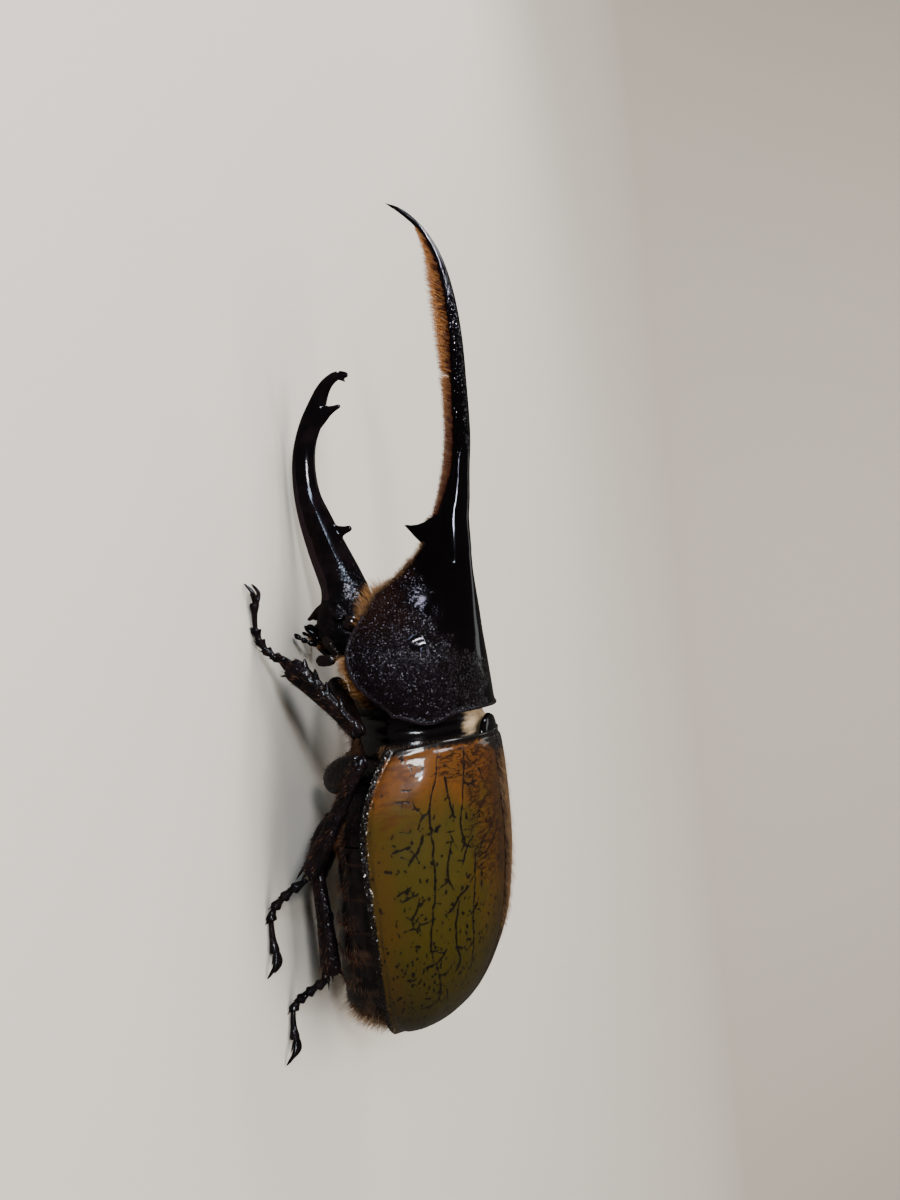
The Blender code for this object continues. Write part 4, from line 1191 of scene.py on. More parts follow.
# %% Wing covers: the paint
# the long cracks of the left cover: half width, then places across from the seam and along from the base
CRACKS = (
    (
        0.17, (19.3, 0.3), (18.6, 5.5), (19.2, 9.5), (18.8, 13.8), (18.9, 20.0), (19.6, 25.0), (20.3, 29.8),
        (19.7, 33.0)
    ),
    (0.17, (13.1, 0.5), (12.4, 4.3), (12.8, 9.2), (13.4, 13.0), (13.0, 15.6), (13.9, 17.0)),
    (0.2, (16.8, 4.7), (15.9, 7.0), (15.2, 9.6), (14.6, 11.8)),
    (0.17, (10.8, 16.8), (11.2, 21.8), (11.6, 27.0), (11.0, 32.8), (10.2, 37.4)),
    (0.17, (15.5, 15.2), (16.6, 19.2), (15.7, 22.4)),
    (0.18, (10.9, 14.9), (12.2, 16.2), (13.8, 19.0)),
    (0.2, (20.2, 13.0), (21.1, 15.0), (23.2, 17.4)),
    (0.18, (14.6, 24.3), (15.4, 27.7), (15.1, 31.4), (13.9, 34.4), (15.0, 36.2)),
    (0.19, (12.4, 22.5), (14.4, 23.4), (16.2, 25.4), (17.8, 26.0)),
    (0.16, (18.9, 26.0), (21.6, 26.6), (23.0, 27.2), (23.4, 25.6), (22.5, 24.6), (21.9, 22.4)),
    (0.19, (17.0, 31.4), (18.9, 33.3), (21.4, 33.9)),
    (0.15, (18.9, 33.3), (18.3, 36.0), (17.8, 39.5), (19.6, 41.0), (21.0, 41.3)),
    (0.15, (16.6, 37.6), (15.4, 40.6), (14.4, 44.1)),
    (0.15, (19.2, 9.6), (20.2, 10.2), (22.4, 7.8)),
    (0.13, (20.2, 10.2), (21.0, 12.3)),
    (0.14, (24.9, 6.0), (22.6, 6.2)),
    (0.15, (25.6, 7.6), (22.6, 8.0)),
    (0.12, (24.4, 12.2), (21.9, 12.6)),
    (0.18, (25.6, 15.2), (22.6, 14.6)),
    (0.16, (25.6, 21.6), (23.0, 20.6)),
    (0.16, (25.0, 22.8), (21.9, 21.8)),
    (0.12, (24.6, 2.6), (23.2, 2.9)),
    (0.14, (13.0, 1.6), (11.2, 3.4), (9.2, 4.6), (6.8, 8.0)),
    (0.15, (12.6, 6.6), (10.6, 7.0), (9.2, 6.6)),
    (0.15, (11.0, 12.2), (8.6, 11.0), (6.6, 9.4)),
    (0.15, (10.8, 17.0), (8.0, 15.9), (5.4, 13.6), (4.2, 11.0)),
    (0.16, (10.7, 18.6), (8.2, 18.2), (5.6, 16.4), (3.8, 13.8)),
    (0.16, (16.4, 13.4), (14.6, 13.6)),
    (0.13, (16.6, 15.0), (14.8, 15.0)),
)
# pools of ink: place and radius
POOLS = ((26.7, 1.3, 0.42), (18.0, 12.6, 0.3), (26.6, 18.0, 0.34), (24.9, 18.2, 0.22), (22.9, 30.0, 0.3),
         (23.6, 34.6, 0.38), (24.2, 35.6, 0.28), (12.9, 28.8, 0.3), (12.4, 31.2, 0.34), (19.1, 35.4, 0.24))
OLIVE = (0.032, 0.0245, 0.0026)
BASE_ORANGE = (0.08, 0.026, 0.003)
RIM_OCHRE = (0.042, 0.023, 0.003)
DARK_BROWN = (0.012, 0.0048, 0.0018)
CRACK_BLACK = (0.0035, 0.0022, 0.0018)
FAR_FROM_INK = 3.0


def walk(places, half_width, seed, found):
    """Lay ink along a stroke. It wanders, swells and thins, and tapers at both ends."""
    path = through([(*place, 0.0) for place in places], 30)
    for i, row in enumerate(path):
        t = i / (len(path) - 1)
        spot = Vector(row)
        wander = noise.noise_vector(spot * 0.7 + Vector((0, 0, seed)))
        tremble = noise.noise_vector(spot * 2.6 + Vector((0, 0, seed + 9)))
        taper = min(1.0, 0.35 + 5 * min(t, 1 - t))
        swell = 1 + 0.7 * noise.noise(spot * 1.3 + Vector((0, 0, seed + 4)))
        moved = spot + wander * 0.24 + tremble * 0.07
        found.append((moved.x, moved.y, half_width * taper * swell))
    return path


def crack_ink(seed, shift):
    """Places along all the cracks of a cover, each with the half width of its ink."""
    dice = random.Random(seed)
    found = []
    for half_width, *places in CRACKS:
        off = Vector((dice.uniform(-shift, shift), dice.uniform(-shift, shift)))
        path = walk([tuple(Vector(place) + off) for place in places], half_width, seed, found)
        for _ in range(max(len(places) - 1, 1)):
            index = dice.randrange(8, len(path) - 8)
            start, ahead = Vector(path[index][:2]), Vector(path[index + 5][:2]) - Vector(path[index][:2])
            turn = math.radians(dice.choice((-1, 1)) * dice.uniform(45, 85))
            out = (Matrix.Rotation(turn, 2) @ ahead).normalized() * dice.uniform(0.5, 2.0)
            walk([tuple(start), tuple(start + out)], half_width * 0.66, seed + index, found)
    for _ in range(70):
        across, along = dice.uniform(9.0, 27.0), dice.uniform(8.0, 47.0)
        turn = dice.gauss(0.35, 0.6) if across > 20 or along > 38 else dice.gauss(1.4, 0.5)
        reach = 0.3 + 1.1 * dice.random() ** 2
        end = (across + reach * math.cos(turn), along + reach * math.sin(turn))
        walk([(across, along), end], dice.uniform(0.1, 0.19), seed, found)
    for across, along, radius in POOLS:
        off = dice.uniform(-shift, shift)
        for _ in range(3):
            spread_out = across + off + 0.25 * dice.gauss(0, 1)
            found.append((spread_out, along + 0.18 * dice.gauss(0, 1), radius * 0.8))
    return found


def lay_ink(piece, sheet, seed, shift):
    """Keep the distance from the edge of the nearest ink at each point of a cover."""
    ink = crack_ink(seed, shift)
    tree = search_tree([(across, along, 0.0) for across, along, half_width in ink])
    # the two closing points of the cover aren't on the sheet
    found = [FAR_FROM_INK] * len(piece.data.vertices)
    for index, (across, along) in enumerate(mark for marks in sheet for mark in marks):
        near = tree.find_n((across * SHEET, along * SHEET, 0.0), 3)
        found[index] = min(FAR_FROM_INK, *[distance - ink[which][2] for spot, which, distance in near])
    keep_values(piece, "crack", found)
    print(piece.name, "has", len(ink), "places of ink")


def cover_finish():
    """The paint of the covers, over their sheet of arc and length."""
    made = Finish("cover_paint", roughness=0.36, coat=0.9, coat_roughness=0.05, specular=0.15)
    step, most, blend = made.step, made.most, made.blend
    made.shader.inputs["Coat IOR"].default_value = 1.42
    sheet = made.add("UVMap", uv_map="shell").outputs["UV"]
    flat = made.add("Mapping", {"Vector": sheet, "Scale": (SHEET, SHEET, 0)}).outputs["Vector"]
    across, along = made.split(flat)[:2]
    # the sign of x sets the two covers apart
    side = made.math("SIGN", made.x) * 41.0
    shifted = made.vector("ADD", flat, made.joined(side, side))

    def noise_at(size, detail=3.0, stretch=(1, 1, 1), output="Fac"):
        where = made.add("Mapping", {"Vector": shifted, "Scale": stretch}).outputs["Vector"]
        return made.value("TexNoise", {"Vector": where, "Scale": 1 / size, "Detail": detail}, output)

    def strewn(scale, where, randomness=1.0):
        """Spots strewn over the sheet: how far away the nearest one is, and its three chances."""
        sockets = {"Vector": where, "Scale": scale, "Randomness": randomness}
        cells = made.add("TexVoronoi", sockets).outputs
        chances = made.add("SeparateColor", {"Color": cells["Color"]}).outputs
        return Value(made, cells["Distance"]), chances

    rough_edge = step(noise_at(0.5), 0.3, 0.7, -0.25, 0.25)
    cracks = step(made.kept("crack") + rough_edge * 0.22, 0.05, -0.03)

    # wrinkles by the seam and the base, as contour lines of a noise
    contour = abs(noise_at(1.0, 2.5, (0.42, 1.25, 1)) - 0.5)
    by_seam = step(across, 13.5, 8.0) * step(along, 26.0, 16.0)
    by_base = step(along, 8.0, 3.0) * step(across, 20.5, 15.0, 0.0, 0.8)
    where = most(by_seam, by_base)
    worms = step(contour, 0.06, 0.02) * step(where, 0.1, 0.45)
    # dots, thicker towards the tail
    warp = made.vector("MULTIPLY", noise_at(0.9, 2.0, output="Color"), (0.9, 0.9, 0))
    drawn = made.vector("ADD", shifted, warp)
    from_dot, chances = strewn(1 / 1.1, drawn)
    kept = made.math("LESS_THAN", chances["Red"], step(along, 2.0, 44.0, 0.3, 0.85))
    size = step(chances["Green"], 0.0, 1.0, 0.1, 0.25)
    dots = kept * step(from_dot - size, 0.03, -0.03)
    # dust, finer still
    from_speck, chances = strewn(
        1 / 1.15, made.add("Mapping", {"Vector": drawn, "Scale": (1.2, 0.8, 1)}).outputs[0]
    )
    dusty = step(across, 12.5, 9.0) * step(along, 11.0, 17.0)
    dusty = most(dusty, step(along, 18.0, 32.0))
    dust = step(from_speck, 0.29, 0.19) * made.math("LESS_THAN", chances["Blue"], dusty)
    # dashes that lie across, near the rim
    squeezed = made.add("Mapping", {"Vector": drawn, "Scale": (0.36, 1.0, 1), "Rotation": (0, 0, -0.16)})
    from_dash, chances = strewn(0.85, squeezed.outputs[0], 0.9)
    dashes = step(from_dash, 0.13, 0.08) * made.math("LESS_THAN", chances["Red"], 0.6)
    side_band = step(across, 21.0, 23.0) * step(across, 28.2, 26.6)
    dashes = dashes * (side_band * step(along, 3.0, 6.0))
    ink = most(most(cracks, dots), most(dust, dashes * 0.8))

    # black edges: the rim, the base and the seam
    rim = step(across + rough_edge * 0.6, 29.75, 30.1)
    corner = step(across, 7.5, 1.5, 0.0, 2.6)
    base = step(along + rough_edge - corner, 1.0, 0.6)
    seam_width = step(along, 0.0, 46.0, 1.7, 0.6)
    seam = step(across + rough_edge - seam_width, 0.45, -0.3)
    edge = most(rim, most(base, seam))

    # the ground colours below the marks
    cloud = step(noise_at(6.0), 0.3, 0.7, -3.0, 3.0)
    warm_base = step(along + cloud, 14.0, 4.0)
    warm_seam = step(across + cloud, 12.5, 6.0) * step(along, 36.0, 18.0)
    warm = most(warm_base, warm_seam * 0.55)
    at_rim = step(across + cloud * 0.4, 24.5, 28.0)
    ground = blend(warm, OLIVE, BASE_ORANGE)
    ground = blend(at_rim * step(along, 6.0, 16.0), ground, RIM_OCHRE)
    ground = blend(step(noise_at(0.8, 5.0), 0.35, 0.75, 0.0, 0.4), ground, (0.03, 0.016, 0.003))
    ground = blend(step(along, 30.0, 49.0, 0.0, 0.65), ground, (0.0195, 0.016, 0.005))
    ground = blend(step(across, 9.0, 1.5, 0.0, 0.55), ground, DARK_BROWN)
    shoulder = step(across, 20.5, 23.0) * step(along, 16.0, 9.0)
    streaks = step(noise_at(1.5, 4.0, (0.55, 1.7, 1)), 0.46, 0.6)
    rusty = streaks * most(shoulder, where * 0.8)
    ground = blend(rusty * 0.75, ground, (0.034, 0.0095, 0.0028))
    ground = blend(worms, ground, DARK_BROWN)
    colour = blend(most(ink, edge), ground, CRACK_BLACK)

    # relief: ink is sunk, the black edges are grained, and the clear coat has soft ripples
    speckled = most(step(across, 29.5, 29.8), seam * 0.7)
    upright = made.grains(0.2, 1.3, speckled)
    sunk = made.bump(1.0 - ink, 0.025, made.bump(noise_at(0.4, 4.0), 0.012, upright))
    ripples = made.bump(noise_at(1.3, 3.0), 0.03, upright)
    coat_normal = made.bump(1.0 - ink, 0.015, ripples)
    return made.wire(colour=colour, normal=sunk, coat_normal=coat_normal)


# the ink wanders by this seed, and without one it would take a new way at every run
noise.seed_set(1)
COVER_PAINT = cover_finish()
for cover, slot_node, seed, shift in (
    (left_cover, "elytron_left", 3, 0.0), (right_cover, "elytron_right", 8, 1.3)
):
    lay_ink(cover, elytron_sheet, seed, shift)
    cover.data.materials.append(COVER_PAINT)
    lit_by_low_lamp.objects.link(cover)
    stands_for(cover, "olive_shell", slot_node)

# %% [markdown]
# Between the thorax and the wing covers the neck shows: a black ring, with a pale soft
# membrane on its upper side, where the joint opens. The scutellum is the shining black triangle
# that the two covers meet on. Behind and below lie the plates of the breast, and the belly
# with its rings. Its sides are tan where the plates join, and the tail plate closes it.

# %% Neck, scutellum, breast and belly
MESOTHORAX_FRONT = 17.0
METATHORAX_FRONT = 23.6
ABDOMEN_FRONT = 36.0
ABDOMEN_END = 69.5
BELLY = 7.6
# the rings of the belly: where the first one starts, and how long each is
FIRST_RING = 38.5
RING_LENGTH = 5.4
# how far the body stays below the wing covers
UNDER_COVERS = 1.65
# x and y of half the outline of the scutellum
SCUTELLUM_HALF = ((0.0, 27.3), (1.5, 26.2), (3.0, 24.4), (4.2, 22.6), (4.5, 21.4), (4.0, 20.4), (2.6, 19.2),
                  (0.0, 18.5))
# how far each ring of points of the scutellum lies below its crown, and how wide it is
SCUTELLUM_RINGS = ((1.5, 0.8), (1.2, 0.94), (0.7, 1.0), (0.3, 0.985), (0.08, 0.94), (0.0, 0.85),
                   (0.0, 0.6),
                   (0.0, 0.3))


def neck_finish():
    made = Finish("neck_and_membrane", roughness=0.24, coat=0.2)
    wrinkles = made.noise(0.7, 4.0, stretch=(0.4, 1.6, 0.4))
    upper = made.step(made.z + wrinkles * 1.4, 31.2, 32.3)
    behind = made.step(made.y, 21.6, 21.2)
    soft = upper * behind
    cream = made.blend(made.noise(1.3), (0.42, 0.27, 0.14), (0.66, 0.5, 0.32))
    colour = made.blend(soft, DEEP_BLACK, cream)
    return made.wire(
        colour=colour, normal=made.bump(wrinkles, 0.1), roughness=made.step(soft, 0, 1, 0.16, 0.5)
    )


def belly_finish():
    made = Finish("belly_shell", roughness=0.26, coat=0.25)
    step, blend = made.step, made.blend
    side_face = step(made.z, 9.0, 12.0)
    patches = step(made.noise(2.4, 4.0, stretch=(1.0, 0.7, 1.0)), 0.46, 0.66)
    tan = side_face * (patches * step(made.y, 46.0, 56.0, 0.15, 0.8))
    ring = made.math("FRACT", (made.y - FIRST_RING) / RING_LENGTH)
    fold = step(abs(ring - 0.5), 0.42, 0.49)
    warm = blend(made.noise(1.0), (0.024, 0.01, 0.005), (0.075, 0.04, 0.02))
    black = plum_clouds(made, 3.0, 0.35, 0.7)
    brown_fold = blend(fold * 0.7, black, CHESTNUT)
    colour = blend(tan, brown_fold, warm)
    pits = step(made.cells(0.6), 0.06, 0.24)
    relief = made.bump(pits, 0.04, made.bump(made.noise(0.5, 5.0), 0.05))
    return made.wire(colour=colour, normal=relief)


def neck_form():
    rings = []
    for y in spread(MESOTHORAX_FRONT, METATHORAX_FRONT - 0.3, 26):
        t = (y - MESOTHORAX_FRONT) / (METATHORAX_FRONT - MESOTHORAX_FRONT)
        fold = 0.22 * math.cos(t * math.pi * 5)
        rings.append(
            body_ring(y, 14.6 + 0.6 * t + fold, 31.6 + 0.7 * t + fold, 20.8, 8.6 - 0.8 * t, 0.95, 1.6)
        )
    return skin(rings)


def scutellum_form():
    """A triangle with bowed sides and a low dome."""
    outline = through(SCUTELLUM_HALF, 5)
    whole = outline + [(-x, y) for x, y in reversed(outline[1:-1])]
    rings = []
    for drop, inset in SCUTELLUM_RINGS:
        ring = []
        for x, y in whole:
            at_x, at_y = x * inset, 22.3 + (y - 22.3) * inset
            crown = 34.1 + 0.09 * (at_y - 22.0) - 0.035 * at_x * at_x - drop
            ring.append(Vector((at_x, at_y, crown)))
        rings.append(ring)
    return skin(rings)


def breast_form():
    rings = []
    for y in spread(METATHORAX_FRONT, ABDOMEN_FRONT - 0.3, 40):
        full = smooth_step(METATHORAX_FRONT - 2, ABDOMEN_FRONT, y)
        half_width = elytra_half_width(y) - UNDER_COVERS - 1.2 * (1 - full)
        ring = body_ring(y, half_width, elytra_top(y) - UNDER_COVERS, elytra_rim(y) - 0.2,
                          BELLY - 0.5 * (1 - full), 1.0, 1.55 - 0.69 * full, 96)
        for point in ring:
            if point.z < 12:
                # the seam down the middle of the breast, and the groove before the hind hips
                point.z += 0.35 * hill(point.x, 0.35) + 0.3 * hill(y - 34.0, 0.4)
                point.z -= 0.35 * hill(abs(point.x) - 2.4, 1.8)
        rings.append(ring)
    return skin(rings)


def belly_form():
    rings = []
    for y in spread(ABDOMEN_FRONT, ABDOMEN_END, 150):
        rim = elytra_rim(y)
        half_width = elytra_half_width(y) - UNDER_COVERS
        top = elytra_top(y + 1.2) - UNDER_COVERS
        bottom = BELLY - 2.9 * smooth_step(36, 64, y)
        close = math.sqrt(max(1 - (max(y - 63.0, 0) / (ABDOMEN_END + 0.4 - 63.0)) ** 2.4, 0.02))
        middle = 10.5
        bottom = middle + (bottom - middle) * close
        top = middle + (min(top, 33) - middle) * (close if y > 66 else 1)
        half_width *= 0.3 + 0.7 * close if y > 63 else 1
        place = ((y - FIRST_RING) % RING_LENGTH) / RING_LENGTH
        # each ring laps over the next one: it swells to its rear edge and drops sharply there
        swell = 0.42 * smooth_step(
            0.02, 0.5, place
        ) * smooth_step(1.0, 0.93, place) if FIRST_RING < y < 66 else 0.25
        ring = body_ring(y, half_width, top, min(rim - 0.2, top - 1.0), bottom, 1.0, 0.86, 110)
        centre = Vector((0, y, min(rim - 0.2, top - 1.0)))
        for point in ring:
            if point.z < rim - 1.5:
                out = (point - centre).normalized()
                dent = 0.5 * hill(place - 0.5, 0.16) * hill(point.z - 13.0, 1.1) if y < 64 else 0.0
                point += out * (swell - 0.2 - dent)
        rings.append(ring)
    return skin(rings)


BELLY_SHELL = belly_finish()
neck_piece = solid("neck_ring", [neck_form()], neck_finish())
stands_for(neck_piece, "polished_black", "mesothorax")
stands_for(solid("scutellum_dressed", [scutellum_form()], POLISHED), "polished_black", "scutellum")
breast_piece = solid("breast_plate", [breast_form()], pitted_shell("breast_shell", 0.5, 0.05))
stands_for(breast_piece, "polished_black", "metathorax")
belly_piece = solid("belly_rings", [belly_form()], BELLY_SHELL)
stands_for(belly_piece, "pitted_black", "abdomen")

# %% [markdown]
# Six legs, three kinds, each drawn once and mirrored. A leg has a stout thigh that swells from
# its hip, a shin with teeth or crowns of spines, and a foot of five goblet-shaped joints with
# two curved claws. The front shins are rakes for climbing, and their spines point out. The
# joints overlap like beads on a string, and clay closes the seams inside each piece.

# %% Legs
LEGS = {
    "front": {
        "hip": (5.6, 11.8, 8.6), "knee": (18.3, 18.2, 17.2), "ankle": (17.3, 7.4, 6.4),
        "foot": ((17.0, 6.6, 5.6), (16.9, 4.4, 2.2), (17.1, 1.0, 0.75), (17.4, -3.4, 1.1)),
        "claws": (17.4, -6.6, 0.1), "thick": (2.45, 1.7), "teeth_to": (17.6, 5.0, 4.0),
    },
    "middle": {
        "hip": (8.4, 27.4, 7.6), "knee": (19.7, 22.9, 17.6), "ankle": (19.8, 39.4, 7.7),
        "foot": ((19.9, 40.4, 7.0), (20.3, 42.6, 3.4), (20.6, 45.6, 0.8), (21.0, 51.2, 1.0)),
        "claws": (21.5, 54.6, 0.1), "thick": (2.4, 1.55), "teeth_to": None,
    },
    "hind": {
        "hip": (4.4, 34.6, 5.6), "knee": (15.2, 41.0, 6.6), "ankle": (15.3, 56.4, 7.4),
        "foot": ((15.4, 57.3, 7.0), (15.8, 59.3, 3.6), (16.3, 61.8, 0.8), (17.3, 66.2, 1.0)),
        "claws": (18.2, 69.4, 0.1), "thick": (2.5, 1.7), "teeth_to": None,
    },
}
FOOT_SHARES = (0.0, 0.18, 0.335, 0.49, 0.645, 1.0)
# profiles: how far along, and how wide
THIGH = ((0.0, 0.66), (0.12, 0.88), (0.35, 1.02), (0.62, 0.98), (0.82, 0.82), (0.93, 0.7), (0.99, 0.52))
HIP_RING = ((-0.04, 0.5), (0.02, 0.86), (0.08, 0.93), (0.13, 0.7))
KNEE_LOBE = ((0.84, 0.6), (0.94, 1.0), (1.02, 0.85), (1.06, 0.3))
SHIN = (
    (-0.05, 0.4), (0.0, 0.72), (0.06, 0.84), (0.15, 0.76), (0.4, 0.88), (0.7, 1.02), (0.92, 1.15),
    (1.0, 1.0)
)
KEEL = ((0.1, 0.78), (0.4, 0.88), (0.7, 1.02), (0.93, 1.1))
GOBLET = ((-0.1, 0.34), (0.05, 0.46), (0.25, 0.52), (0.6, 0.74), (0.85, 0.98), (0.97, 0.98), (1.02, 0.6))
LAST_JOINT = ((-0.08, 0.34), (0.05, 0.48), (0.3, 0.56), (0.6, 0.66), (0.88, 0.98), (0.98, 0.96), (1.0, 0.7))
# how far along, half width and half height
END_TOOTH = ((0.0, 1.3, 1.0), (0.4, 1.2, 0.85), (0.75, 0.75, 0.5), (1.0, 0.12, 0.12))
# how far along, how far aside and how high, then half width and half height
CLAW = ((0.22, 0.55, 0.62, 0.36, 0.42), (0.52, 0.92, 0.86, 0.3, 0.36), (0.8, 1.1, 0.5, 0.22, 0.26),
        (1.0, 1.15, 0.12, 0.1, 0.1))


def laid(place, profile, half_width, half_height):
    """Rows for a limb: a profile of shares and widths, laid along a path."""
    return [(*place(t), half_width * wide, half_height * wide) for t, wide in profile]


def thigh_forms(leg):
    hip, knee = Vector(leg["hip"]), Vector(leg["knee"])
    thick = leg["thick"][0]
    flat = Vector((0, 1, 0.3))
    along = (knee - hip).normalized()
    across = squared(flat, along)

    def bowed(t):
        return hip.lerp(knee, t) + Vector((0, 0, -0.5)) * (4 * t * (1 - t))

    forms = [limb(laid(bowed, THIGH, thick, 0.82 * thick), flat, 28, 5, 0.92)]
    # the small ring of the hip, and two lobes that hold the knee
    forms.append(limb(laid(lambda t: hip.lerp(knee, t), HIP_RING, thick, 0.8 * thick), flat, 24, 4))
    for k in (-1, 1):
        off = along.cross(across) * (k * 0.34 * thick)
        lobe = laid(lambda t: hip.lerp(knee, t) + off, KNEE_LOBE, 0.5 * thick, 0.22 * thick)
        forms.append(limb(lobe, across, 16, 4))
    return forms


def shin_forms(leg, dice):
    knee, ankle = Vector(leg["knee"]), Vector(leg["ankle"])
    along = (ankle - knee).normalized()
    outward = squared(Vector((0.25, -0.3, 1.0) if leg["teeth_to"] else (0.55, 0, 1.0)), along)
    across = along.cross(outward).normalized()
    thick = leg["thick"][1]

    def bowed(t):
        return knee.lerp(ankle, t) + outward * (0.9 * t * (1 - t))

    forms = [limb(laid(bowed, SHIN, 0.72 * thick, thick), across, 24, 5, 0.9)]
    # four keels run down the shin
    for turn in (40, 140, 220, 320):
        lean = outward * math.sin(math.radians(turn)) + across * (0.72 * math.cos(math.radians(turn)))
        keel = [(*(bowed(t) + lean * (thick * wide * 0.93)), 0.17) for t, wide in KEEL]
        forms.append(limb(keel, across, 8, 4))
    if leg["teeth_to"]:
        # the rake of a front shin: a long end tooth, four teeth in a row and a spur
        tip = Vector(leg["teeth_to"])
        base = knee.lerp(ankle, 0.82)
        rows = [(*base.lerp(tip, t), wide, deep) for t, wide, deep in END_TOOTH]
        forms.append(limb(rows, outward, 16, 4))
        for share, size in ((0.3, 0.5), (0.52, 1.0), (0.7, 1.25), (0.86, 1.3)):
            root = knee.lerp(ankle, share) + outward * 0.5 * thick
            tip = root + outward * (0.5 * thick + size) + along * 0.9
            forms.append(thorn(root - along * 0.5, tip, 0.85, 0.1, 14))
        root = knee.lerp(ankle, 0.95) - outward * 0.5 * thick
        forms.append(thorn(root, root - outward * 2.0 + along * 1.6, 0.42, 0.15, 12))
        return forms
    # two combs across the back, a crown round the end, and two spurs
    for share in (0.42, 0.68):
        for k in (-1.3, -0.65, 0, 0.65, 1.3):
            root = knee.lerp(ankle, share + 0.02 * k) + outward * 0.55 * thick + across * 0.62 * k
            reach = 0.8 + 0.4 * dice.random() - 0.25 * abs(k)
            forms.append(thorn(root, root + outward * reach + along * (0.8 + reach * 0.5), 0.36, 0.08, 10))
    for k in range(11):
        turn = math.radians(-70 + 32 * k)
        out = outward * math.sin(turn) + across * math.cos(turn)
        root = knee.lerp(ankle, 0.93) + out * 0.55 * thick
        reach = (2.1 if k % 3 == 1 else 1.25) + 0.4 * dice.random()
        forms.append(thorn(root, root + along * reach + out * 0.8, 0.36, 0.08, 10))
    for k, reach in ((-0.5, 3.6), (0.5, 2.9)):
        root = knee.lerp(ankle, 0.9) - outward * 0.45 * thick + across * k
        tip = root + along * (0.1 * (ankle - knee).length + reach) - outward * 1.3
        forms.append(thorn(root, tip, 0.4, -0.15, 12))
    return forms


def foot_path(leg):
    """Places along the foot: a function from a share of its length to a point."""
    path = [Vector(row) for row in through(leg["foot"], 10)]
    lengths = [0.0]
    for first, second in zip(path, path[1:]):
        lengths.append(lengths[-1] + (second - first).length)

    def place(share):
        target = min(max(share, 0.0), 1.0) * lengths[-1]
        for i in range(1, len(path)):
            if lengths[i] >= target:
                return path[i - 1].lerp(path[i], (target - lengths[i - 1]) / (lengths[i] - lengths[i - 1]))
        return path[-1]

    return place


def foot_forms(leg, dice):
    place = foot_path(leg)
    forms = []
    for start, end in zip(FOOT_SHARES, FOOT_SHARES[1:]):
        last = end == 1.0
        bulk = 0.8 if last else 0.92
        joint = laid(
            lambda t: place(start + (end - start) * t), LAST_JOINT if last else GOBLET, bulk, 0.94 * bulk
        )
        forms.append(limb(joint, ACROSS, 16, 4))
        if last:
            continue
        base = place(start + (end - start) * 0.86)
        ahead = (place(end + 0.03) - base).normalized()
        under = ahead.cross(ACROSS).normalized()
        under = under if under.z < 0 else -under
        for k in (-1, -0.35, 0.35, 1):
            root = base + ACROSS * (0.5 * k) + under * 0.35
            reach = 1.0 + 0.25 * dice.random()
            forms.append(
                thorn(root, root + ahead * reach + ACROSS * (0.45 * k) + under * 0.3, 0.17, 0.0, 8)
            )
    end, tip = place(1.0), Vector(leg["claws"])
    ahead = (tip - end).normalized()
    for k in (-1, 1):
        hook = [(*(end - ahead * 0.5), 0.36, 0.4)]
        hook += [(*(end.lerp(tip, t) + ACROSS * (k * aside) + UP * lift), wide, deep)
                 for t, aside, lift, wide, deep in CLAW]
        forms.append(limb(hook, ACROSS, 14, 5))
    # the bristle pad between the claws
    pad = end + ahead * 0.3 - UP * 0.1
    rows = [
        (*(pad + ahead * reach), wide, deep) for reach, wide,
        deep in ((0, 0.2, 0.2), (0.9, 0.13, 0.13), (1.3, 0.16, 0.12))
    ]
    forms.append(limb(rows, ACROSS, 10, 3))
    for k in (-1, 1):
        forms.append(thorn(pad + ahead * 1.2, pad + ahead * 1.9 + ACROSS * (0.4 * k), 0.09, 0.0, 7))
    return forms


FOOT_SHELL = pitted_shell("foot_shell", 0.8, 0.03)
leg_dice = random.Random(5)
leg_pieces = {}
for name, leg in LEGS.items():
    thigh = moulded(f"femur_{name}_left_dressed", thigh_forms(leg), LEG_SHELL, 0.17, 3)
    shin = moulded(f"tibia_{name}_left_dressed", shin_forms(leg, leg_dice), LEG_SHELL, 0.14, 2)
    foot = moulded(f"tarsus_{name}_left_dressed", foot_forms(leg, leg_dice), FOOT_SHELL, 0.1, 1)
    for kind, piece, slot_name in (
        ("femur", thigh, "pitted_black"), ("tibia", shin, "pitted_black"),
        ("tarsus", foot, "polished_black")
    ):
        right = mirrored(piece, f"{kind}_{name}_right_dressed")
        for side_name, seated in (("left", piece), ("right", right)):
            stands_for(seated, slot_name, f"{kind}_{name}_{side_name}")
            leg_pieces[kind, name, side_name] = seated
print(len(leg_pieces), "leg pieces,", sum(facets(p) for p in leg_pieces.values()), "triangles")

# %% [markdown]
# All the hair comes from one tree of Geometry Nodes. It is fed with a patch of skin, whose points
# say which way the hair lies, how long it is and how far it sags. The tree scatters roots over
# the patch, stands a thin unit spine on each, turns it to the lie with some chance in it, and
# makes real mesh of the result. It then bends each hair by the square of the way along it, which
# is how a hair hangs. Each hair keeps a shade that it nearly shares with its neighbours, which
# shows as strands. It also keeps the place of its root on a flat sheet of the skin, as
# a UV map called OFBake, so that a colour can be baked for it later.

# %% Hair, as a tree of nodes
# the side of the small sheet that each hair has for itself
PATCH = 0.003


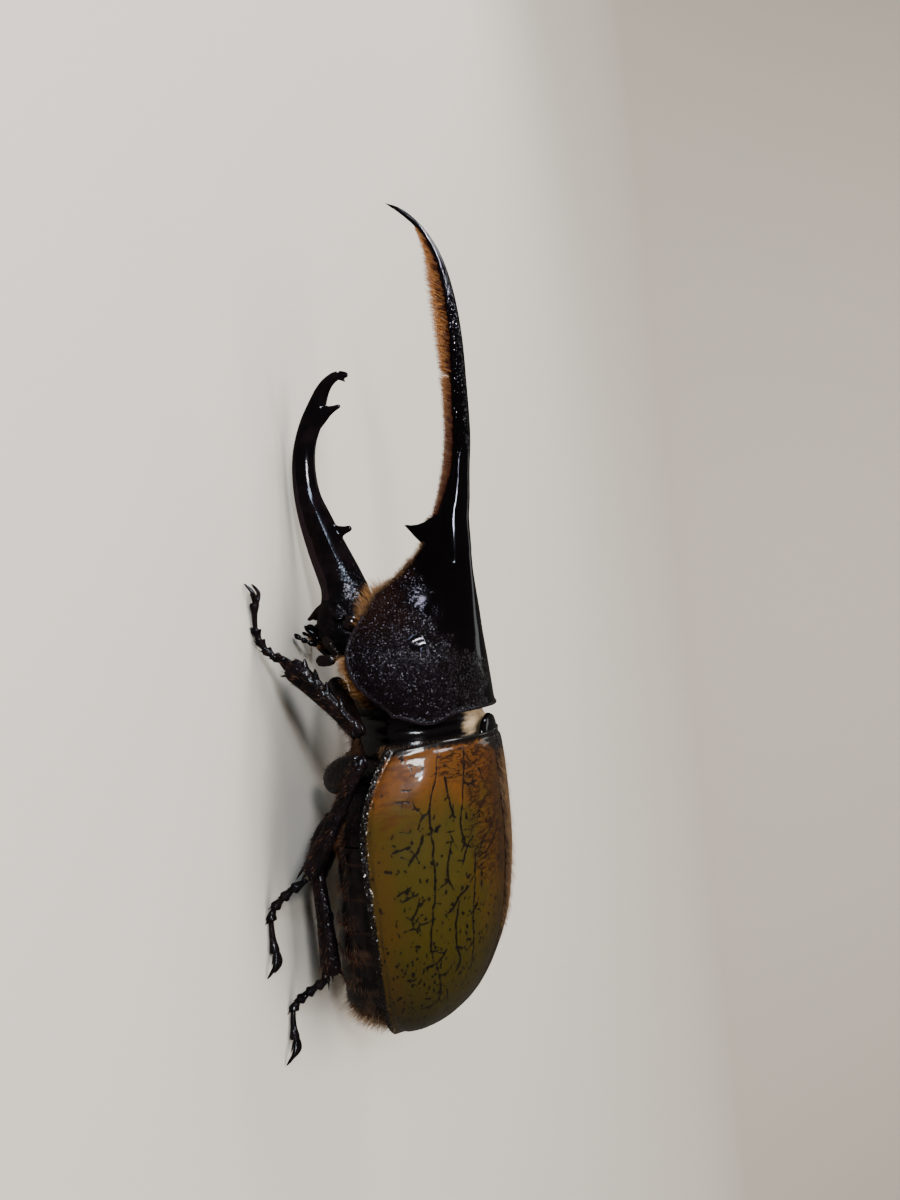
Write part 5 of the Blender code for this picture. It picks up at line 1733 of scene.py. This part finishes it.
def hair_finish(name, root_colour, tip_colour, rear_colour=None):
    """Hair that is darker at its root. It has streaks, and may take another colour further back."""
    made = Finish(name, roughness=0.35, specular=0.35)
    if rear_colour:
        tip_colour = made.blend(made.step(made.y, -46.0, -26.0), tip_colour, rear_colour)
    along = made.kept("along")
    lock = made.step(made.noise(0.9, 3.0), 0.3, 0.7, -0.3, 0.3)
    mood = made.kept("mood")
    share = made.math(
        "ADD", made.step(along, 0.0, 0.8) + lock, made.step(mood, 0.0, 1.0, -0.5, 0.4), clamp=True
    )
    colour = made.blend(share, root_colour, tip_colour)
    pale = made.step(mood, 0.7, 0.95) * made.step(along, 0.2, 0.9, 0.0, 0.45)
    return made.wire(colour=made.blend(pale, colour, (0.72, 0.46, 0.22)))


class Knit(Maker):
    """A Geometry Nodes tree in the making, with short ways to add fields, chances and inputs."""

    def __init__(self, name, inputs):
        self.tree = bpy.data.node_groups.new(name, "GeometryNodeTree")
        self.tree.is_modifier = True
        self.tree.interface.new_socket("Skin", in_out="INPUT", socket_type="NodeSocketGeometry")
        for label, kind, value in inputs:
            socket = self.tree.interface.new_socket(label, in_out="INPUT", socket_type="NodeSocket" + kind)
            if value is not None:
                socket.default_value = value
        self.tree.interface.new_socket("Hair", in_out="OUTPUT", socket_type="NodeSocketGeometry")
        self.given = self.tree.nodes.new("NodeGroupInput").outputs
        self.result = self.tree.nodes.new("NodeGroupOutput").inputs

    def add(self, kind, inputs=None, **settings):
        return self.node(kind, inputs, settings)

    def here(self):
        return self.add("GeometryNodeInputPosition").outputs[0]

    def field(self, name, kind="FLOAT"):
        """What the mesh keeps under a name."""
        made = self.add("GeometryNodeInputNamedAttribute", {"Name": name}, data_type=kind)
        return Value(self, made.outputs["Attribute"])

    def chance(self, low, high, number, kind="FLOAT"):
        """A random value for each hair. Each number is drawn with its own seed."""
        seed = self.math("ADD", self.given["Seed"], float(number))
        node = self.add("FunctionNodeRandomValue", {"Seed": seed}, data_type=kind)
        for label, end in (("Min", low), ("Max", high)):
            next(s for s in node.inputs if s.name == label and s.enabled).default_value = end
        return Value(self, next(s for s in node.outputs if s.enabled))

    def cloud(self, scale):
        sockets = {"Vector": self.scaled(self.here(), scale), "Detail": 1.0}
        return self.add("ShaderNodeTexNoise", sockets).outputs

    def keep(self, geometry, name, value, kind, domain="POINT"):
        sockets = {"Geometry": geometry, "Name": name, "Value": value}
        return self.add(
            "GeometryNodeStoreNamedAttribute", sockets, data_type=kind, domain=domain
        ).outputs[0]


def unit_hair(knit, sides, steps):
    """A spine of length one along z and radius one, which keeps how far along each point is."""
    sockets = {
        "Vertices": sides, "Side Segments": steps, "Radius Top": 0.12, "Radius Bottom": 1.0, "Depth": 1.0
    }
    cone = knit.add("GeometryNodeMeshCone", sockets, fill_type="NGON")
    x, y, height = knit.split(knit.here())
    marked = knit.keep(cone.outputs["Mesh"], "along", height, "FLOAT")
    # the way round the hair and the way up it are its own small sheet
    flat = knit.joined(knit.math("MULTIPLY_ADD", knit.math("ARCTAN2", x, y), 1 / 6.5, 0.5), height)
    return knit.keep(marked, "on_hair", flat, "FLOAT_VECTOR")


def hair_tree(sides=3, steps=4):
    knit = Knit("hair", (
        ("Density", "Float", 1e6), ("Thickness", "Float", 3e-5), ("Seed", "Int", 1),
        ("Ruffle", "Float", 0.25),
        ("Uneven", "Float", 0.35), ("Clump", "Float", 0.0), ("Material", "Material", None),
    ))
    given = knit.given
    crowd = knit.field("crowd") * given["Density"]
    roots = knit.add("GeometryNodeDistributePointsOnFaces",
                     {"Mesh": given["Skin"], "Density": crowd, "Seed": given["Seed"]})
    # a hair lies as its skin says, ruffled by chance, and neighbours lean together in locks
    ruffled = knit.scaled(knit.chance((-1, -1, -1), (1, 1, 1), 1, "FLOAT_VECTOR"), given["Ruffle"])
    lock_lean = knit.scaled(
        knit.vector("SUBTRACT", knit.cloud(1400.0)["Color"], (0.5, 0.5, 0.5)), given["Clump"]
    )
    lie = knit.vector("ADD", knit.field("lie", "FLOAT_VECTOR"), knit.vector("ADD", ruffled, lock_lean))
    facing = knit.add("FunctionNodeAlignRotationToVector", {"Vector": lie}, axis="Z").outputs[0]
    spin = knit.add("FunctionNodeRotateRotation", {"Rotation": facing}, rotation_space="LOCAL")
    knit.feed(knit.joined(z=knit.chance(0.0, 6.28, 2)), spin.inputs[1])
    longer = knit.field("reach") * (1.0 - knit.chance(0.0, 1.0, 3) * given["Uneven"])
    stout = knit.chance(0.7, 1.3, 4) * given["Thickness"]
    hang = knit.vector("ADD", knit.field("sag", "FLOAT_VECTOR"), knit.scaled(ruffled, longer * 0.5))
    ready = knit.keep(roots.outputs["Points"], "hang", hang, "FLOAT_VECTOR")
    # neighbours share a shade, which shows as strands
    strand = Value(knit, knit.cloud(2600.0)["Fac"]) - 0.5
    ready = knit.keep(
        ready, "mood", knit.math("MULTIPLY_ADD", strand, 3.2, knit.chance(0.3, 0.7, 5)), "FLOAT"
    )
    stood = knit.add("GeometryNodeInstanceOnPoints", {
        "Points": ready, "Instance": unit_hair(knit, sides, steps), "Rotation": spin.outputs[0],
        "Scale": knit.joined(stout, stout, longer),
    }).outputs[0]
    real = knit.add("GeometryNodeRealizeInstances", {0: stood}).outputs[0]
    along = knit.field("along")
    bend = knit.scaled(knit.field("hang", "FLOAT_VECTOR"), along * along)
    bent = knit.add("GeometryNodeSetPosition", {"Geometry": real, "Offset": bend}).outputs[0]
    local = knit.scaled(
        knit.vector("SUBTRACT", knit.field("on_hair", "FLOAT_VECTOR"), (0.5, 0.5, 0.0)), PATCH
    )
    sheet = knit.vector("ADD", knit.field("root_sheet", "FLOAT_VECTOR"), local)
    mapped = knit.keep(bent, "OFBake", sheet, "FLOAT2", "CORNER")
    clothed = knit.add(
        "GeometryNodeSetMaterial", {"Geometry": mapped, "Material": given["Material"]}
    ).outputs[0]
    knit.feed(clothed, knit.result["Hair"])
    return knit.tree


HAIR_TREE = hair_tree()


def socket_of(tree, label):
    return next(item.identifier for item in tree.interface.items_tree
                if item.item_type == "SOCKET" and item.in_out == "INPUT" and item.name == label)


def sheet_place(place):
    """Where a place on the beetle lies on a flat sheet: unrolled round the body's long axis."""
    turn = math.atan2(place.x, place.z - 18.0) / (2 * math.pi)
    return (0.5 + 0.96 * turn, 0.02 + 0.96 * (place.y + 72.0) / 144.0, 0.0)


# what each point of the skin keeps, and how many numbers that is
SKIN_FIELDS = {"lie": "FLOAT_VECTOR", "reach": "FLOAT", "sag": "FLOAT_VECTOR", "crowd": "FLOAT",
               "root_sheet": "FLOAT_VECTOR"}


def patch(pieces, keep):
    """A skin of those faces of some pieces that a rule keeps. Its points are in millimetres."""
    points, faces = [], []
    for piece in pieces:
        spots = [v.co / MM for v in piece.data.vertices]
        for face in piece.data.polygons:
            if keep(face.center / MM, face.normal):
                faces.append(tuple(range(len(points), len(points) + len(face.vertices))))
                points += [spots[i] for i in face.vertices]
    return points, faces


def grow(name, pieces, finish, density, thickness, seed, ruffle, uneven, clump, keep, rule):
    """Hair over the faces of some pieces that a first rule keeps.

    Both rules are asked with a place in mm and the normal there. The second one gives the lie, the
    reach and sag in mm, and how crowded the hair is."""
    points, faces = patch(pieces, keep)
    data = bpy.data.meshes.new(name)
    data.from_pydata([tuple(p * MM) for p in points], [], faces)
    data.update()
    kept = {label: [] for label in SKIN_FIELDS}
    for face in data.polygons:
        for index in face.vertices:
            place = data.vertices[index].co / MM
            way, length, hang, share = rule(place, face.normal)
            kept["lie"].extend(way)
            kept["reach"].append(length * MM)
            kept["sag"].extend(Vector(hang) * MM)
            kept["crowd"].append(share)
            kept["root_sheet"].extend(sheet_place(place))
    for label, kind in SKIN_FIELDS.items():
        layer = data.attributes.new(label, kind, "POINT")
        layer.data.foreach_set("vector" if kind == "FLOAT_VECTOR" else "value", kept[label])
    piece = bpy.data.objects.new(name, data)
    model.objects.link(piece)
    growth = piece.modifiers.new("growth", "NODES")
    growth.node_group = HAIR_TREE
    for label, value in (
        ("Density", density * 1e6), ("Thickness", thickness * MM), ("Seed", seed), ("Ruffle", ruffle),
        ("Uneven", uneven), ("Clump", clump), ("Material", finish),
    ):
        growth[socket_of(HAIR_TREE, label)] = value
    settled(piece)
    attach(piece, "root")
    print(f"{name}: {facets(piece)} triangles")
    return piece


print("the tree of the hair has", len(HAIR_TREE.nodes), "nodes")

# %% [markdown]
# The fields of hair follow. The thick brush under the long horn is golden at its ends and red at
# its roots. Its strands lean towards the tip, and it keeps a nick. A fringe stands along the seam
# of the covers, and soft hair fills the neck, the mouth, the hips and the breast, and sits in
# rows on the legs. Each field takes its faces from the shell that it grows on, by a rule of
# place, so every root sits on the surface.

# %% Fields of hair
# y and depth of the brush under the long horn
BRUSH_DEPTH = ((-65.6, 0.3), (-64.0, 1.0), (-61.0, 1.75), (-55.0, 2.65), (-50.0, 2.75), (-44.0, 2.45),
               (-39.6, 1.95), (-35.0, 1.55),
               (-28.0, 1.45), (-22.0, 1.35), (-15.6, 1.0), (-14.4, 0.5))
BRUSH_NICK = -38.7
BRUSH_HAIR = hair_finish("brush_hair", (0.055, 0.01, 0.003), (0.54, 0.215, 0.055), (0.17, 0.056, 0.022))
GOLDEN_HAIR = hair_finish("golden_hair", (0.085, 0.028, 0.008), (0.4, 0.18, 0.05))
TAWNY_HAIR = hair_finish("tawny_hair", (0.035, 0.013, 0.006), (0.27, 0.145, 0.06))
RUSTY_HAIR = hair_finish("rusty_hair", (0.025, 0.007, 0.003), (0.13, 0.045, 0.015))


def sign(value):
    return 1.0 if value > 0 else -1.0


def brush_rule(place, normal):
    depth = read_off(BRUSH_DEPTH, place.y)[0]
    gap = smooth_step(0.12, 0.55, abs(place.y - BRUSH_NICK))
    lie = Vector((0.16 * place.x, -0.42 - 0.25 * smooth_step(-54, -64, place.y), -1.0))
    return lie, 1.12 * depth * (0.55 + 0.45 * gap), (0, -0.1 * depth, 0), gap


def by_margin(place, normal):
    return (-10.8 < place.y < 0.5 and normal.y <= 0.35
            and abs(place.z - read_off(PRONOTUM_MARGIN, place.y)[1] - 0.2) < 0.55)


def seam_rule(place, normal):
    across = abs(place.x)
    share = smooth_step(3.2, 0.6, across) * smooth_step(23.2, 25.5, place.y) * smooth_step(60, 50, place.y)
    length = 1.7 * smooth_step(62, 42, place.y) + 0.5
    return normal * 0.5 + Vector(
        (-0.14 * sign(place.x), 0.8, 0.0)
    ), length, (0, 0.2, -0.15), share * share


grow("brush_of_the_horn", [thorax_shell_piece], BRUSH_HAIR, 40, 0.056, 21, 0.22, 0.26, 0.5,
     lambda p, n: -65.4 < p.y < -14.6 and n.z < -0.4 and abs(p.x) < 2.2 and p.z > 20,
     brush_rule)
grow("fringe_of_the_shield", [thorax_shell_piece], TAWNY_HAIR, 60, 0.028, 22, 0.3, 0.4, 0.0, by_margin,
     lambda p, n: (Vector((0.25 * sign(p.x), -0.8, -0.55)), 0.95, (0, 0, -0.1), 1.0))
grow("hair_behind_the_head", [thorax_shell_piece], GOLDEN_HAIR, 26, 0.04, 23, 0.35, 0.4, 0.5,
     lambda p, n: -3.6 < p.y < 4.5 and abs(p.x) < 9.5 and n.z < -0.2 and 13.5 < p.z < 21,
     lambda p, n: (Vector((0.15 * p.x / 6, -1.0, -0.35)), 2.6, (0, -0.3, -0.5), 1.0))
grow("hair_of_the_armpits", [thorax_shell_piece], GOLDEN_HAIR, 16, 0.038, 24, 0.4, 0.5, 0.4,
     lambda p, n: 7.0 < p.y < 15.5 and 10.5 < abs(p.x) < 16.5 and n.z < -0.15 and p.z < 18,
     lambda p, n: (Vector((0.8 * sign(p.x), -0.35, -0.9)), 2.0, (0, 0, -0.3), 1.0))
grow("beard_of_the_lip", [lip_piece], GOLDEN_HAIR, 40, 0.04, 25, 0.35, 0.45, 0.4,
     lambda p, n: p.y < 5.5 and n.y < 0.4 and p.z > 1.2,
     lambda p, n: (Vector((0.12 * p.x, -0.9, -0.25)) + n * 0.4, 1.5, (0, 0, -0.25), 1.0))
grow("fringe_of_the_neck", [neck_piece], TAWNY_HAIR, 22, 0.03, 26, 0.35, 0.4, 0.0,
     lambda p, n: 21.0 < p.y < 22.6 and p.z > 19,
     lambda p, n: (TAILWARDS + n * 0.5, 1.1, (0, 0, -0.1), 1.0))
grow("fringe_of_the_seam", [left_cover, right_cover], TAWNY_HAIR, 15, 0.024, 27, 0.3, 0.45, 0.3,
     lambda p, n: abs(p.x) < 3.3 and 23.0 < p.y < 60 and n.z > 0.5, seam_rule)


def tail_rule(place, normal):
    out = Vector((normal.x, 0, normal.z))
    return Vector((0.0, 0.9, -0.15)) + out * 0.7, 2.3, (0, 0, -0.5), smooth_step(62.5, 67.5, place.y)


def belly_rule(place, normal):
    ring = ((place.y - FIRST_RING) % RING_LENGTH) / RING_LENGTH
    row = smooth_step(0.45, 0.8, ring) * smooth_step(1.0, 0.92, ring)
    return normal * 0.5 + TAILWARDS, 1.1, (0, 0, -0.1), 0.12 + row


def breast_rule(place, normal):
    return normal * 0.8 + TAILWARDS * 0.8, 1.7, (0, 0, -0.2), smooth_step(1.5, 4.5, abs(place.x))


grow("hair_of_the_tail", [belly_piece], TAWNY_HAIR, 9, 0.032, 28, 0.4, 0.5, 0.5,
     lambda p, n: p.y > 62.5 and n.y < 0.97 and p.z < elytra_rim(p.y) + 0.5, tail_rule)
grow("hair_of_the_belly", [belly_piece], RUSTY_HAIR, 5.0, 0.028, 29, 0.35, 0.5, 0.0,
     lambda p, n: 37 < p.y < 64 and n.z < 0.35 and p.z < 13.5, belly_rule)
grow("hair_of_the_breast", [breast_piece, neck_piece], RUSTY_HAIR, 12.0, 0.032, 30, 0.4, 0.5, 0.4,
     lambda p, n: n.z < 0.1 and p.z < 13.5, breast_rule)


def bristle_rule(start, end):
    """Bristles in loose rows along a leg, lying towards the foot."""
    def rule(place, normal):
        way = (Vector(end) - Vector(start)).normalized()
        way.x *= sign(place.x)
        rows = 0.5 + 0.5 * math.sin(place.y * 2.1 + place.z * 1.7)
        return normal * 0.75 + way * 0.9, 0.95, (0, 0, -0.05), 0.25 + 0.75 * rows

    return rule


for number, (which, leg) in enumerate(LEGS.items()):
    for part_name, start, end, density in (("femur", "hip", "knee", 3.2), ("tibia", "knee", "ankle", 3.6)):
        both = [leg_pieces[part_name, which, side] for side in SIDES]
        grow(f"bristles_{part_name}_{which}", both, RUSTY_HAIR, density, 0.03, 31 + number, 0.25, 0.5, 0.0,
             lambda p, n: n.z < 0.25, bristle_rule(leg[start], leg[end]))
